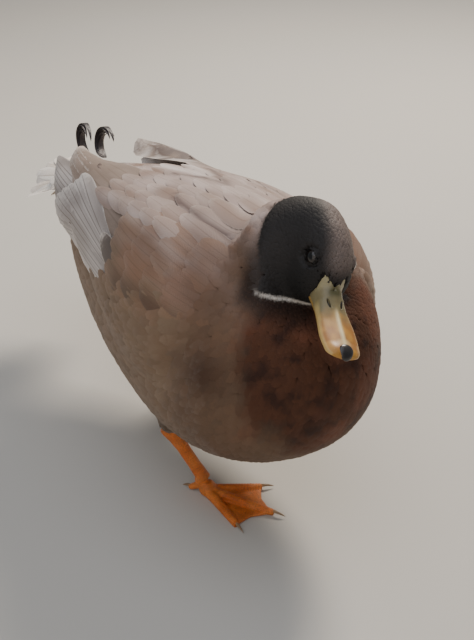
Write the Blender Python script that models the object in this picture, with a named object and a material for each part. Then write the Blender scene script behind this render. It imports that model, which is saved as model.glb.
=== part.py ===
"""A drake duck at life size, standing on both webbed feet with its head lowered and turned to its right.

The bird faces -Y and +Z is up. Trunk, neck and head are one loft, parted with thin cuts, so that they stay
one smooth body. Wings, long feathers and tail lie on that body as shells. Lengths are in metres.
"""

import math
from typing import NamedTuple

import bmesh
import bpy
from mathutils import Matrix, Vector, geometry

GAP = 0.0004  # clearance between neighbouring pieces
RING_POINTS = 28
FLAT_FOOT = 0.0  # level of everything that stands on the floor


class Station(NamedTuple):
    """One slice of the body: its back point and belly point as (forward, up), and how wide it is."""

    back_forward: float
    back_up: float
    belly_forward: float
    belly_up: float
    half_width: float
    widest: float  # share of the way from back to belly where the slice is widest
    squareness: float  # 2 is an ellipse, more is fuller at the corners
    aside: float = 0.0  # how far the slice is shifted to the right


# Driving dimensions of the body, from the root of the tail to the neck.
BODY = [
    Station(-0.170, 0.152, -0.166, 0.131, 0.016, 0.50, 2.0),
    Station(-0.144, 0.161, -0.134, 0.104, 0.033, 0.50, 2.1),
    Station(-0.102, 0.175, -0.090, 0.078, 0.0475, 0.54, 2.2),
    Station(-0.052, 0.190, -0.042, 0.058, 0.057, 0.57, 2.3),
    Station(0.000, 0.199, 0.010, 0.049, 0.064, 0.58, 2.3),
    Station(0.030, 0.202, 0.062, 0.048, 0.0665, 0.60, 2.3),
    Station(0.050, 0.203, 0.106, 0.059, 0.065, 0.62, 2.2),
    Station(0.061, 0.2035, 0.137, 0.082, 0.0590, 0.61, 2.1),
    Station(0.068, 0.2045, 0.152, 0.108, 0.0500, 0.58, 2.0),
    Station(0.0735, 0.2075, 0.1545, 0.135, 0.0425, 0.54, 2.0, 0.001),
    Station(0.0780, 0.2118, 0.1465, 0.1545, 0.0360, 0.52, 2.0, 0.003),
    Station(0.0818, 0.2182, 0.1350, 0.1655, 0.0320, 0.50, 2.0, 0.0045),
    Station(0.0874, 0.2227, 0.1235, 0.1705, 0.0280, 0.50, 2.0, 0.0050),
]
NECK_FROM, NECK_TO = 7.5, 12.0  # stations where the neck meets the trunk and the head
HEAD_STEP = 0.5
COLLAR = 11.3  # where the dark head feathers begin
COLLAR_DISH = (0.5, 0.014)  # the head's root narrows to this share and is set this deep into the neck
TAIL_TO = 0.9  # the rump behind this station is its own piece
BODY_LEAN = math.radians(6)  # the body leans a little to its left
LEAN_HEIGHT = 0.120  # height of the line it leans about
# The head in the bill's frame: forward along the mouth line, up from it, from the front of the forehead.
HEAD = [
    Station(-0.0490, 0.0325, -0.0115, -0.0170, 0.0236, 0.54, 2.0, 0.0060),
    Station(-0.0428, 0.0356, -0.0112, -0.0132, 0.0199, 0.57, 2.0, 0.0044),
    Station(-0.0335, 0.0356, -0.0108, -0.0108, 0.0176, 0.60, 2.1, 0.0026),
    Station(-0.0218, 0.0332, -0.0092, -0.0092, 0.0160, 0.60, 2.2, 0.0013),
    Station(-0.0128, 0.0278, -0.0072, -0.0080, 0.0144, 0.58, 2.2, 0.0003),
    Station(-0.0066, 0.0222, -0.0055, -0.0068, 0.0117, 0.55, 2.1),
    Station(-0.0025, 0.0168, -0.0048, -0.0045, 0.0082, 0.50, 2.0),
    Station(0.0010, 0.0128, -0.0030, 0.0020, 0.0038, 0.50, 2.0),
]
HEAD_PLACE = (0.1406, 0.1813, 0.0024)  # forward, up and right of the mouth line under the forehead
HEAD_YAW, HEAD_PITCH, HEAD_ROLL = math.radians(-19), math.radians(15.3), math.radians(20)
HEAD_SCALE = 0.94
EYE_RADIUS = 0.0054
EYE_PLACE = (-0.0160, 0.0170, 0.0100)  # forward, up and out of the eyeball's middle, on the head
BILL_LENGTH = 0.0425  # from the front of the forehead to the tip
BILL_BACK = 0.0095  # how far the bill's root reaches back under the cheeks
NAIL_SIZE = (0.0041, 0.0052, 0.0019)

# The folded wings and the long feathers lie on this outer surface, which leaves the rump free.
MANTLE = [
    Station(-0.178, 0.171, -0.172, 0.116, 0.0260, 0.45, 2.0),
    Station(-0.144, 0.178, -0.134, 0.098, 0.0440, 0.48, 2.1),
    Station(-0.102, 0.184, -0.090, 0.074, 0.0570, 0.52, 2.2),
    *[Station(*s[:4], s.half_width + 0.001, *s[5:]) for s in BODY[3:9]],
]

FOOT_RIGHT = dict(joint=(0.053, -0.024), heading=math.radians(-34))
FOOT_LEFT = dict(joint=(-0.030, 0.036), heading=math.radians(14))
HOCK_RIGHT = (0.034, -0.041, 0.0485)
HOCK_LEFT = (-0.066, 0.040, 0.054)
ANKLE_HEIGHT = 0.0095
TOE_SPREAD = math.radians(34)
TOES = {"inner": (-1, 0.036), "middle": (0, 0.047), "outer": (1, 0.037)}
TOE_RADIUS = (0.0040, 0.0021)
WEB_THICKNESS = 0.0016
WEB_HEIGHT = 0.0003  # the webs hang this far above the floor, the toes are flat on it
HIND_TOE = 0.013
CLAW = 0.007


def at(forward: float, up: float, right: float = 0.0) -> Vector:
    """A point given the way the bird would say it."""
    return Vector((-right, -forward, up))


def blend(values: list, place: float):
    """The value of a smooth curve through evenly spaced values, at a place counted in steps."""
    last = len(values) - 1
    place = min(max(place, 0.0), float(last))
    i = min(int(place), last - 1)
    t = place - i
    a, b, c, d = (values[min(max(k, 0), last)] for k in (i - 1, i, i + 1, i + 2))
    return 0.5 * (2 * b + (c - a) * t + (2 * a - 5 * b + 4 * c - d) * t**2 + (3 * b - a - 3 * c + d) * t**3)


def slice_at(stations: list, place: float) -> Station:
    return Station(*(blend([s[k] for s in stations], place) for k in range(len(Station._fields))))


def on_slice(s: Station, angle: float, grow: float = 0.0) -> Vector:
    """A point on a slice's rim. Angle 0 is the right side, and a quarter turn is the back."""
    back, belly = at(s.back_forward, s.back_up), at(s.belly_forward, s.belly_up)
    middle = back.lerp(belly, s.widest)
    c, d = math.cos(angle), math.sin(angle)
    power = 2 / s.squareness
    side = math.copysign(abs(c) ** power, c) * (s.half_width + grow)
    axis = (back if d > 0 else belly) - middle
    rise = abs(d) ** power * (axis.length + grow)
    return middle + Vector((-side - s.aside, 0, 0)) + axis.normalized() * rise


def head_matrix() -> Matrix:
    """Carries the head's own frame (x left, y back, z up) to its place in front of the neck."""
    turn = Matrix.Rotation(HEAD_YAW, 4, "Z") @ Matrix.Rotation(HEAD_PITCH, 4, "X")
    turn = turn @ Matrix.Rotation(HEAD_ROLL, 4, "Y")
    forward, up, right = HEAD_PLACE
    return Matrix.Translation(at(forward, up, right)) @ turn @ Matrix.Scale(HEAD_SCALE, 4)


def leaned(point: Vector) -> Vector:
    """The point after the body's lean."""
    pivot = Vector((0, 0, LEAN_HEIGHT))
    return Matrix.Rotation(BODY_LEAN, 3, "Y") @ (point - pivot) + pivot


def body_ring(place: float, grow: float = 0.0) -> list:
    """A ring of the body. Places past the last body station run on through the head."""
    steps = [2 * math.pi * i / RING_POINTS for i in range(RING_POINTS)]
    if place <= NECK_TO:
        s = slice_at(BODY, place)
        return [leaned(on_slice(s, a, grow)) for a in steps]
    s = slice_at(HEAD, place - NECK_TO)
    carry = head_matrix()
    return [carry @ on_slice(s, a, grow) for a in steps]


def full_ring(place: float, grow: float = 0.0) -> list:
    """body_ring, with the neck carried over smoothly to the turned head."""
    low, high, step = NECK_TO - 1.7, NECK_TO + 0.8, 0.1
    if not low < place < high:
        return body_ring(place, grow)
    before, after = body_ring(low, grow), body_ring(high, grow)
    slope_before = [(a - b) / step for a, b in zip(before, body_ring(low - step, grow))]
    slope_after = [(b - a) / step for a, b in zip(after, body_ring(high + step, grow))]
    span = high - low
    t = (place - low) / span
    h00, h10 = 2 * t**3 - 3 * t**2 + 1, t**3 - 2 * t**2 + t
    h01, h11 = -2 * t**3 + 3 * t**2, t**3 - t**2
    return [
        p * h00 + m * span * h10 + q * h01 + n * span * h11
        for p, q, m, n in zip(before, after, slope_before, slope_after)
    ]


def material(name: str, colour: str, roughness: float) -> bpy.types.Material:
    """A plain finish from an sRGB hex colour."""
    made = bpy.data.materials.get(name) or bpy.data.materials.new(name)
    made.use_nodes = True
    shader = made.node_tree.nodes["Principled BSDF"]
    channels = [int(colour[i : i + 2], 16) / 255 for i in (0, 2, 4)]
    linear = [c / 12.92 if c <= 0.04045 else ((c + 0.055) / 1.055) ** 2.4 for c in channels]
    shader.inputs["Base Color"].default_value = (*linear, 1.0)
    shader.inputs["Roughness"].default_value = roughness
    made.diffuse_color = (*linear, 1.0)
    return made


def finish(name: str, bm: bmesh.types.BMesh, finish_of: bpy.types.Material) -> bpy.types.Object:
    """Makes the named object from a bmesh, facing outwards and shaded smooth."""
    bmesh.ops.recalc_face_normals(bm, faces=bm.faces)
    mesh = bpy.data.meshes.new(name)
    bm.to_mesh(mesh)
    bm.free()
    mesh.shade_smooth()
    mesh.set_sharp_from_angle(angle=math.radians(50))
    made = bpy.data.objects.new(name, mesh)
    bpy.context.scene.collection.objects.link(made)
    mesh.materials.append(finish_of)
    return made


def loft(bm: bmesh.types.BMesh, rings: list) -> None:
    """Bridges the rings in turn and closes both ends. A ring of one point is a pole."""
    loops = []
    for ring in rings:
        verts = [bm.verts.new(p) for p in ring]
        edges = [bm.edges.new((a, b)) for a, b in zip(verts, verts[1:] + verts[:1])] if len(verts) > 2 else []
        loops.append((verts, edges))
    for (low, low_edges), (high, high_edges) in zip(loops, loops[1:]):
        if len(low) > 2 and len(high) > 2:
            bmesh.ops.bridge_loops(bm, edges=low_edges + high_edges)
            continue
        pole, edges = (low[0], high_edges) if len(low) == 1 else (high[0], low_edges)
        for edge in edges:
            bm.faces.new((edge.verts[0], edge.verts[1], pole))
    for verts, edges in (loops[0], loops[-1]):
        if len(verts) > 2:
            bm.faces.new(verts)


def cut(target: bpy.types.Object, cutter: bpy.types.Object, operation: str = "DIFFERENCE") -> None:
    """Cuts the target with a hidden helper."""
    step = target.modifiers.new("Cut", "BOOLEAN")
    step.operation = operation
    step.object = cutter
    step.solver = "EXACT"
    cutter.hide_render = True
    cutter.display_type = "WIRE"


def steps_between(start: float, end: float, step: float) -> list:
    count = max(1, round((end - start) / step))
    return [start + (end - start) * i / count for i in range(count + 1)]


def dished(ring: list) -> list:
    """A smaller ring set back into the neck, so that the fold at the throat clears the joint."""
    share, depth = COLLAR_DISH
    centre = sum(ring, Vector()) / len(ring)
    inward = geometry.normal(ring)
    if inward.dot(full_ring(NECK_FROM)[0] - centre) < 0:
        inward.negate()
    return [centre + (p - centre) * share + inward * depth for p in ring]


def body_piece(name: str, start: float, end: float, step: float, look: bpy.types.Material, grow: float = 0.0):
    """A length of the body between two places."""
    bm = bmesh.new()
    rings = [full_ring(p, grow) for p in steps_between(start, end, step)]
    if abs(end - COLLAR) < 0.01:
        rings.append(dished(rings[-1]))
    if 0 < start - COLLAR < 0.1:
        rings.insert(0, dished(rings[0]))
    loft(bm, rings)
    return finish(name, bm, look)


def ball(name: str, centre: Vector, size: tuple, carry: Matrix, look: bpy.types.Material, segments: int = 20):
    """An ellipsoid placed in the head's own frame."""
    bm = bmesh.new()
    bmesh.ops.create_uvsphere(bm, u_segments=segments, v_segments=segments // 2, radius=1.0)
    bmesh.ops.scale(bm, vec=size, verts=bm.verts)
    bmesh.ops.translate(bm, vec=centre, verts=bm.verts)
    bmesh.ops.transform(bm, matrix=carry, verts=bm.verts)
    return finish(name, bm, look)


def build_body(looks: dict) -> dict:
    """Rump, trunk, neck and head, each a length of the one body."""
    part = 0.003  # a thin cut, counted in stations
    end = NECK_TO + len(HEAD) - 1
    pieces = {
        "tail": body_piece("tail", 0.0, TAIL_TO - part, 0.3, looks["rump"]),
        "trunk": body_piece("trunk", TAIL_TO + part * 2, NECK_FROM - part * 3, 0.42, looks["flank"]),
        "neck": body_piece("neck", NECK_FROM + part * 3, COLLAR, 0.4, looks["breast"]),
        "head": body_piece("head", COLLAR + part * 12, end, HEAD_STEP, looks["head"]),
    }
    carry = head_matrix()
    forward, up, out = EYE_PLACE
    for side, sign in (("right", 1), ("left", -1)):
        centre = at(forward, up, sign * out)
        eye = [EYE_RADIUS] * 3
        ball(f"eye_{side}", centre, eye, carry, looks["eye"], 14)
        socket = ball(f"socket_{side}", centre, [EYE_RADIUS + GAP] * 3, carry, looks["eye"], 14)
        cut(pieces["head"], socket)
    return pieces


def bill_outline(t: float) -> tuple:
    """Half width, ridge height and depth below the mouth line, t from the bill's root to its tip."""
    half_width = blend([0.0092, 0.0088, 0.0082, 0.0084, 0.0092, 0.0101, 0.0106, 0.0099, 0.0066], t * 8)
    ridge = blend([0.0145, 0.0138, 0.0104, 0.0074, 0.0057, 0.0048, 0.0043, 0.0039, 0.0022], t * 8)
    depth = blend([0.0052, 0.0050, 0.0044, 0.0038, 0.0034, 0.0030, 0.0027, 0.0023, 0.0016], t * 8)
    return half_width, ridge, depth


def bill_section(t: float, upper: bool) -> list:
    """One slice across the upper or the lower bill."""
    half_width, ridge, depth = bill_outline(t)
    forward = -BILL_BACK + (BILL_LENGTH + BILL_BACK) * 0.975 * t
    points = []
    count = 16
    for i in range(count):
        angle = 2 * math.pi * i / count
        c, d = math.cos(angle), math.sin(angle)
        if upper:
            side = math.copysign(abs(c) ** 0.75, c) * half_width
            rise = ridge * max(d, 0) ** 0.9 + (0.0005 * d if d < 0 else 0)
        else:
            side = math.copysign(abs(c) ** 0.75, c) * (half_width - 0.0013)
            rise = -0.0009 - (depth * (-d) ** 0.9 if d < 0 else 0)
        points.append(at(forward, rise, side))
    return points


def build_bill(looks: dict) -> None:
    """Upper bill, lower bill and the nail set into the tip. The forehead's feathers lie over the root."""
    carry = head_matrix()
    end = NECK_TO + len(HEAD) - 1
    clearance = body_piece("head_clearance", 13.6, end, HEAD_STEP, looks["head"], GAP * 1.5)
    clearance.data.transform(Matrix.Translation(carry.to_3x3() @ at(GAP * 1.5, 0)))
    made = {}
    for name, upper in (("bill_upper", True), ("bill_lower", False)):
        bm = bmesh.new()
        reach = 1.0 if upper else 0.955
        places = [0, 0.12, 0.24, 0.36, 0.48, 0.6, 0.72, 0.83, 0.91, 0.96, 1.0]
        rings = [bill_section(t * reach, upper) for t in places]
        low = 0.0008 if upper else -0.0016
        rings.append([at(BILL_LENGTH * (1.0 if upper else 0.945), low)])
        loft(bm, [[carry @ p for p in ring] for ring in rings])
        made[name] = finish(name, bm, looks["bill"])
        cut(made[name], clearance)
    centre = at(BILL_LENGTH - 0.0044, 0.0024)
    tilt = Matrix.Translation(centre) @ Matrix.Rotation(math.radians(24), 4, "X")
    ball("bill_nail", Vector(), NAIL_SIZE, carry @ tilt, looks["nail"], 14)
    seat = [v + GAP for v in NAIL_SIZE]
    for name, bill in made.items():
        cut(bill, ball(f"nail_seat_{name}", Vector(), seat, carry @ tilt, looks["nail"], 14))


def shell(name: str, along: list, low, high, thickness, lift, side: int, look: bpy.types.Material):
    """A curved plate on the mantle, along places front to back, between edges given as angles."""
    across = 9
    bm = bmesh.new()
    rings = []
    for k, place in enumerate(along):
        share = k / (len(along) - 1)
        s = slice_at(MANTLE, place)
        a, b = low(share), high(share)
        inner, outer = [], []
        for i in range(across):
            t = i / (across - 1)
            angle = a + (b - a) * t
            crown = math.sqrt(max(0.0, 1 - (2 * t - 1) ** 2))
            inner.append(on_slice(s, angle, lift(share)))
            outer.append(on_slice(s, angle, lift(share) + 0.0009 + (thickness(share) - 0.0009) * crown))
        rings.append(inner + outer[::-1])
    loft(bm, [[leaned(Vector((p.x * side, p.y, p.z))) for p in ring] for ring in rings])
    return finish(name, bm, look)


def between(start: float, end: float, power: float = 1.0):
    """A function that goes from start to end as its share goes from 0 to 1."""
    return lambda share: start + (end - start) * share**power


def build_wings(looks: dict) -> None:
    """Each folded wing, its tertials and the primaries. The left wing is held out at the shoulder."""
    deg = math.radians
    for side, sign in (("right", 1), ("left", -1)):
        front, rear = (6.55 if side == "right" else 7.2), 2.3
        shoulder = 0.0 if side == "right" else 0.0115

        def edge_low(t):
            return deg(20) - deg(23) * math.sin(math.pi * t**0.8) ** 0.8

        def edge_high(t):
            return deg(62) - deg(34) * (1 - math.sqrt(max(0.0, 1 - (1 - t) ** 4)))

        shell(
            f"wing_{side}",
            steps_between(rear, front, 0.4)[::-1],
            edge_low,
            edge_high,
            lambda t: (
                0.0018
                + 0.0062 * math.sin(math.pi * (0.12 + 0.8 * t)) ** 0.8
                + shoulder * math.exp(-(((t - 0.17) / 0.11) ** 2))
            ),
            lambda t: GAP,
            sign,
            looks["wing"],
        )
        shell(
            f"tertials_{side}",
            steps_between(0.75, rear - 0.02, 0.24)[::-1],
            lambda t: deg(40) + deg(16) * t,
            lambda t: deg(63) + deg(4) * t,
            between(0.0048, 0.0022),
            lambda t: GAP,
            sign,
            looks["tertial"],
        )
        shell(
            f"primaries_{side}",
            steps_between(0.05, rear - 0.02, 0.26)[::-1],
            lambda t: deg(8) + deg(22) * t,
            lambda t: deg(39) + deg(6) * t,
            between(0.0042, 0.0018),
            lambda t: GAP,
            sign,
            looks["quill"],
        )


def build_tail(looks: dict) -> None:
    """The fan of tail feathers and the drake's curled feathers over the rump."""
    root = slice_at(BODY, 0.0)
    start = (root.back_forward + root.belly_forward) / 2 + 0.006
    up = (root.back_up + root.belly_up) / 2
    rings = []
    for t in (0.0, 0.15, 0.3, 0.45, 0.6, 0.75, 0.88, 0.96, 1.0):
        reach = start - 0.066 * t
        half_width = 0.0165 + 0.027 * math.sin(min(t, 0.9) / 0.9 * math.pi / 2)
        half_width -= 0.014 * max(0.0, t - 0.75) / 0.25
        thick = 0.0075 * (1 - t) ** 1.5 + 0.0016
        droop = 0.010 + 0.022 * t
        top, low = [], []
        for i in range(11):
            v = -1 + i / 5
            level = up - 0.012 * t**1.2 + 0.005 - droop * v * v
            forward = reach + 0.026 * v * v * t
            top.append(leaned(at(forward, level + thick / 2, v * half_width)))
            low.append(leaned(at(forward, level - thick / 2, v * half_width)))
        rings.append(top + low[::-1])
    bm = bmesh.new()
    loft(bm, rings)
    fan = finish("tail_fan", bm, looks["tail"])
    cut(fan, body_piece("rump_clearance", 0.0, TAIL_TO, 0.3, looks["rump"], GAP * 1.5))
    for name, side, size in (("tail_curl_right", 1, 0.0140), ("tail_curl_left", -1, 0.0120)):
        rings = []
        base = at(-0.150, 0.1533, 0.0055 * side)
        for k in range(13):
            t = k / 12
            turn = math.radians(-18 + 262 * t)
            radius = size * (1.25 - 0.45 * t)
            middle = base + at(
                -0.012 - radius * math.sin(turn), radius * (1 - math.cos(turn)) + 0.0032, 0.004 * side * t
            )
            along = at(-math.cos(turn), math.sin(turn))
            out = along.cross(Vector((1, 0, 0)))
            half_width, half_thick = 0.0036 * (1 - t**3 * 0.75), 0.0008
            rings.append([
                leaned(middle + Vector((math.cos(a) * half_width, 0, 0)) + out * (math.sin(a) * half_thick))
                for a in [2 * math.pi * i / 8 for i in range(8)]
            ])
        bm = bmesh.new()
        loft(bm, rings)
        finish(name, bm, looks["curl"])


def tube(bm: bmesh.types.BMesh, path: list, radii: list, points: int = 12, flatten: float = 1.0) -> None:
    """A round tube through the path, with closed ends."""
    rings = []
    for i, (p, r) in enumerate(zip(path, radii)):
        ahead = (path[min(i + 1, len(path) - 1)] - path[max(i - 1, 0)]).normalized()
        side = ahead.cross(Vector((0, 1, 0.2))).normalized()
        other = ahead.cross(side)
        rings.append([
            p + side * (math.cos(a) * r * flatten) + other * (math.sin(a) * r)
            for a in [2 * math.pi * k / points for k in range(points)]
        ])
    loft(bm, rings)


def build_leg(side: str, foot: dict, hock: tuple, trunk_cutter: bpy.types.Object, looks: dict) -> None:
    """Feathered thigh, scaly shank, webbed foot and its claws."""
    joint_forward, joint_left = foot["joint"]
    joint = at(joint_forward, ANKLE_HEIGHT, -joint_left)
    knee_forward, knee_left, hock_up = hock
    hock_at = at(knee_forward, hock_up, -knee_left)
    down = (joint - hock_at).normalized()

    bm = bmesh.new()
    thigh_top = hock_at + Vector((-knee_left * 0.2, -0.020, 0.052))
    path = [thigh_top.lerp(hock_at, t) for t in (0.0, 0.25, 0.5, 0.72, 0.88, 1.0)]
    tube(bm, path, [0.0270, 0.0260, 0.0205, 0.0135, 0.0090, 0.0066], 18)
    thigh = finish(f"thigh_{side}", bm, looks["flank"])
    cut(thigh, trunk_cutter)

    bm = bmesh.new()
    start = hock_at - down * 0.0015
    stop = joint - down * 0.004
    shares = [0.0, 0.10, 0.22, 0.45, 0.7, 0.88, 1.0]
    radii = [0.0060, 0.0058, 0.0045, 0.0038, 0.0037, 0.0042, 0.0044]
    tube(bm, [start.lerp(stop, t) for t in shares], radii, 14)
    shank = finish(f"shank_{side}", bm, looks["leg"])
    room = bmesh.new()
    path = [start - down * GAP, start.lerp(stop, 0.25), start.lerp(stop, 0.5)]
    tube(room, path, [0.0060 + GAP * 1.5] * 3, 16)
    cut(thigh, finish(f"hock_clearance_{side}", room, looks["leg"]))

    outward = 1 if side == "right" else -1
    heading = foot["heading"]
    floor_joint = Vector((joint.x, joint.y, 0))

    def toe_tip(turn: float, length: float) -> Vector:
        angle = heading + turn * TOE_SPREAD * outward
        return floor_joint + at(math.cos(angle) * length, 0, math.sin(angle) * length)

    tips = {name: toe_tip(turn, length) for name, (turn, length) in TOES.items()}
    web = bmesh.new()
    rim = [floor_joint - (tips["middle"] - floor_joint).normalized() * 0.005]
    order = ["inner", "middle", "outer"]
    for k, name in enumerate(order):
        rim.append(floor_joint.lerp(tips[name], 0.985))
        if k < 2:
            half_way = tips[name].lerp(tips[order[k + 1]], 0.5)
            rim.append(floor_joint.lerp(half_way, 0.90))
    verts = [web.verts.new(p + Vector((0, 0, WEB_HEIGHT))) for p in rim]
    face = web.faces.new(verts)
    grown = bmesh.ops.extrude_face_region(web, geom=[face])
    bmesh.ops.translate(
        web, vec=(0, 0, WEB_THICKNESS), verts=[v for v in grown["geom"] if isinstance(v, bmesh.types.BMVert)]
    )
    sheet = finish(f"foot_{side}", web, looks["leg"])
    for name, tip in tips.items():
        toe = bmesh.new()
        root = floor_joint + Vector((0, 0, 0.0036))
        end = tip + Vector((0, 0, 0.0017))
        path = [root.lerp(end, t) for t in (0.0, 0.2, 0.45, 0.7, 0.9, 1.0)]
        thinning = (0.0, 0.3, 0.55, 0.75, 0.92, 1.0)
        radii = [TOE_RADIUS[0] + (TOE_RADIUS[1] - TOE_RADIUS[0]) * t for t in thinning]
        tube(toe, path, radii, 8)
        cut(sheet, finish(f"toe_{name}_{side}", toe, looks["leg"]), "UNION")
    hind = bmesh.new()
    back = (floor_joint - tips["middle"]).normalized()
    path = [joint + Vector((0, 0, -0.003)), joint + back * 0.006 + Vector((0, 0, -0.0035)),
            floor_joint + back * HIND_TOE + Vector((0, 0, 0.0015))]
    tube(hind, path, [0.0036, 0.0026, 0.0018], 8)
    cut(sheet, finish(f"toe_hind_{side}", hind, looks["leg"]), "UNION")
    knuckle = bmesh.new()
    bmesh.ops.create_uvsphere(knuckle, u_segments=12, v_segments=6, radius=0.0058)
    bmesh.ops.translate(knuckle, vec=floor_joint + Vector((0, 0, 0.0055)), verts=knuckle.verts)
    cut(sheet, finish(f"knuckle_{side}", knuckle, looks["leg"]), "UNION")
    below = bmesh.new()
    bmesh.ops.create_cube(below, size=0.3)
    bmesh.ops.translate(below, vec=floor_joint - Vector((0, 0, 0.15 - FLAT_FOOT)), verts=below.verts)
    floor_cutter = finish(f"floor_{side}", below, looks["leg"])
    cut(sheet, floor_cutter)
    leg_cutter = bmesh.new()
    path = [start.lerp(stop + down * GAP, t) for t in (0.0, 0.5, 1.0)]
    tube(leg_cutter, path, [0.0055, 0.0055, 0.0058], 14)
    cut(sheet, finish(f"shank_clearance_{side}", leg_cutter, looks["leg"]))

    for name, tip in {**tips, "hind": floor_joint + back * HIND_TOE}.items():
        claw = bmesh.new()
        ahead = (tip - floor_joint).normalized()
        first = tip + ahead * (TOE_RADIUS[1] * 0.2 + GAP * 2) + Vector((0, 0, 0.0024))
        size = CLAW if name != "hind" else CLAW * 0.6
        arch = first + ahead * size * 0.5 + Vector((0, 0, 0.0004))
        tube(claw, [first, arch, first + ahead * size - Vector((0, 0, 0.0012))], [0.0013, 0.0010, 0.0004], 6)
        finish(f"claw_{name}_{side}", claw, looks["claw"])
    return shank


def centre_on_floor() -> None:
    """Moves everything so that the origin is the middle of the bounding box, on the floor."""
    graph = bpy.context.evaluated_depsgraph_get()
    points = []
    for piece in bpy.data.objects:
        if not piece.hide_render:
            points += [v.co.copy() for v in piece.evaluated_get(graph).data.vertices]
    low, high = (Vector(pick(p[k] for p in points) for k in range(3)) for pick in (min, max))
    middle = (low + high) / 2
    for mesh in bpy.data.meshes:
        mesh.transform(Matrix.Translation((-middle.x, -middle.y, -low.z)))


def main() -> None:
    for old in list(bpy.data.objects):
        bpy.data.objects.remove(old)
    looks = {
        "head": material("head_feathers", "2A2524", 0.5),
        "breast": material("breast_feathers", "4B342D", 0.8),
        "flank": material("flank_feathers", "7D6C5E", 0.8),
        "rump": material("rump_feathers", "4A4240", 0.8),
        "wing": material("wing_feathers", "8C7262", 0.7),
        "tertial": material("tertial_feathers", "A3917F", 0.6),
        "quill": material("quill_feathers", "A79D95", 0.6),
        "tail": material("tail_feathers", "D8CBBB", 0.7),
        "curl": material("curl_feathers", "3E3839", 0.5),
        "bill": material("bill_horn", "BDA058", 0.35),
        "nail": material("nail_horn", "241E1C", 0.35),
        "eye": material("eye", "140E0B", 0.08),
        "leg": material("leg_skin", "C05A1C", 0.55),
        "claw": material("claw_horn", "2B2320", 0.4),
    }
    build_body(looks)
    build_bill(looks)
    build_wings(looks)
    build_tail(looks)
    trunk_cutter = body_piece("trunk_clearance", TAIL_TO, NECK_FROM, 0.42, looks["flank"], GAP * 1.5)
    build_leg("right", FOOT_RIGHT, HOCK_RIGHT, trunk_cutter, looks)
    build_leg("left", FOOT_LEFT, HOCK_LEFT, trunk_cutter, looks)
    centre_on_floor()


main()
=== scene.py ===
"""The dressed duck: one skin with its eyelids, a coat of solid feathers, and its bill, eyes and feet.

The bird faces -Y, +Z is up and its right side is -X. Lengths are in metres, and a name that ends in _mm is in
millimetres. A place on the body is often given as the bird would say it: forward, right, up.
"""

import heapq
import logging
import math
from collections.abc import Callable
from dataclasses import dataclass, field
from enum import Enum

import bmesh
import bpy
import numpy as np
from bmesh.types import BMesh
from bpy.types import Material, Mesh, Node, NodeTree, Object
from mathutils import Matrix, Vector
from mathutils.bvhtree import BVHTree


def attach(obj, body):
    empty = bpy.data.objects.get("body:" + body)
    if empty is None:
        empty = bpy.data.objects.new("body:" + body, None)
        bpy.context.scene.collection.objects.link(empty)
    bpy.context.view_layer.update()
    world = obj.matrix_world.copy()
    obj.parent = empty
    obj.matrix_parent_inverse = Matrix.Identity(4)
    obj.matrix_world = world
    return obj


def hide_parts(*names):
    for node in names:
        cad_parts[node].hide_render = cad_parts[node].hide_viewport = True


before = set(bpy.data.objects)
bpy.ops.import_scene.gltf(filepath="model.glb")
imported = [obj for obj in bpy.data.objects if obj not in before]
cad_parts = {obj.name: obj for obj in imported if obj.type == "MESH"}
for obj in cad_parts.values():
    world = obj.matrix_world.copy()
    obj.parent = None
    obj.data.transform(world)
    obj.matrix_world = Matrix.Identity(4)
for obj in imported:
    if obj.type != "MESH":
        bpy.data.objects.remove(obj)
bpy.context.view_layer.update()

Rows = np.ndarray  # numbers in rows, one row for each point, feather or place
MM = 0.001
SEED = 20
ROOT_BODY = "root"
PATCH = 0.003  # a tuft's share of the bake map, which is one unit wide
FAR = 99.0  # farther than any measure in millimetres that it's compared with
KERATIN_IOR = 1.54
log = logging.getLogger("duck")


def at(forward: float, up: float, right: float = 0.0) -> Vector:
    """Gives a point in the frame's axes from the bird's own directions."""
    return Vector((-right, -forward, up))


def smooth(low: float, high: float, value: Rows) -> Rows:
    """Gives 0 at low and 1 at high, with an even rise between."""
    t = np.clip((value - low) / (high - low), 0.0, 1.0)
    return t * t * (3 - 2 * t)


def mix(first: Rows, second: Rows, share: Rows) -> Rows:
    """Blends two rows of colours by a share for each row."""
    return first + (second - first) * np.asarray(share)[..., None]


def linear(colour: str) -> Rows:
    """Turns an sRGB hex colour into linear light.

    Args:
        colour: Six hex digits.

    Returns:
        Three linear channels.
    """
    channels = np.array([int(colour[i : i + 2], 16) / 255 for i in (0, 2, 4)])
    return np.where(channels <= 0.04045, channels / 12.92, ((channels + 0.055) / 1.055) ** 2.4)


def layered(base: str | Rows, *layers: tuple) -> Rows:
    """Lays colours over each other.

    Args:
        base: The lowest colour, as hex digits or as rows of linear channels.
        layers: Pairs of a colour, in either form, and its share for each row.

    Returns:
        Rows of linear channels.
    """
    rows = linear(base) if isinstance(base, str) else base
    for tone, share in layers:
        rows = mix(rows, linear(tone) if isinstance(tone, str) else tone, share)
    return rows


def unit(vectors: Rows) -> Rows:
    """Scales each row to a length of one."""
    return vectors / np.maximum(np.linalg.norm(vectors, axis=-1, keepdims=True), 1e-12)


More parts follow.
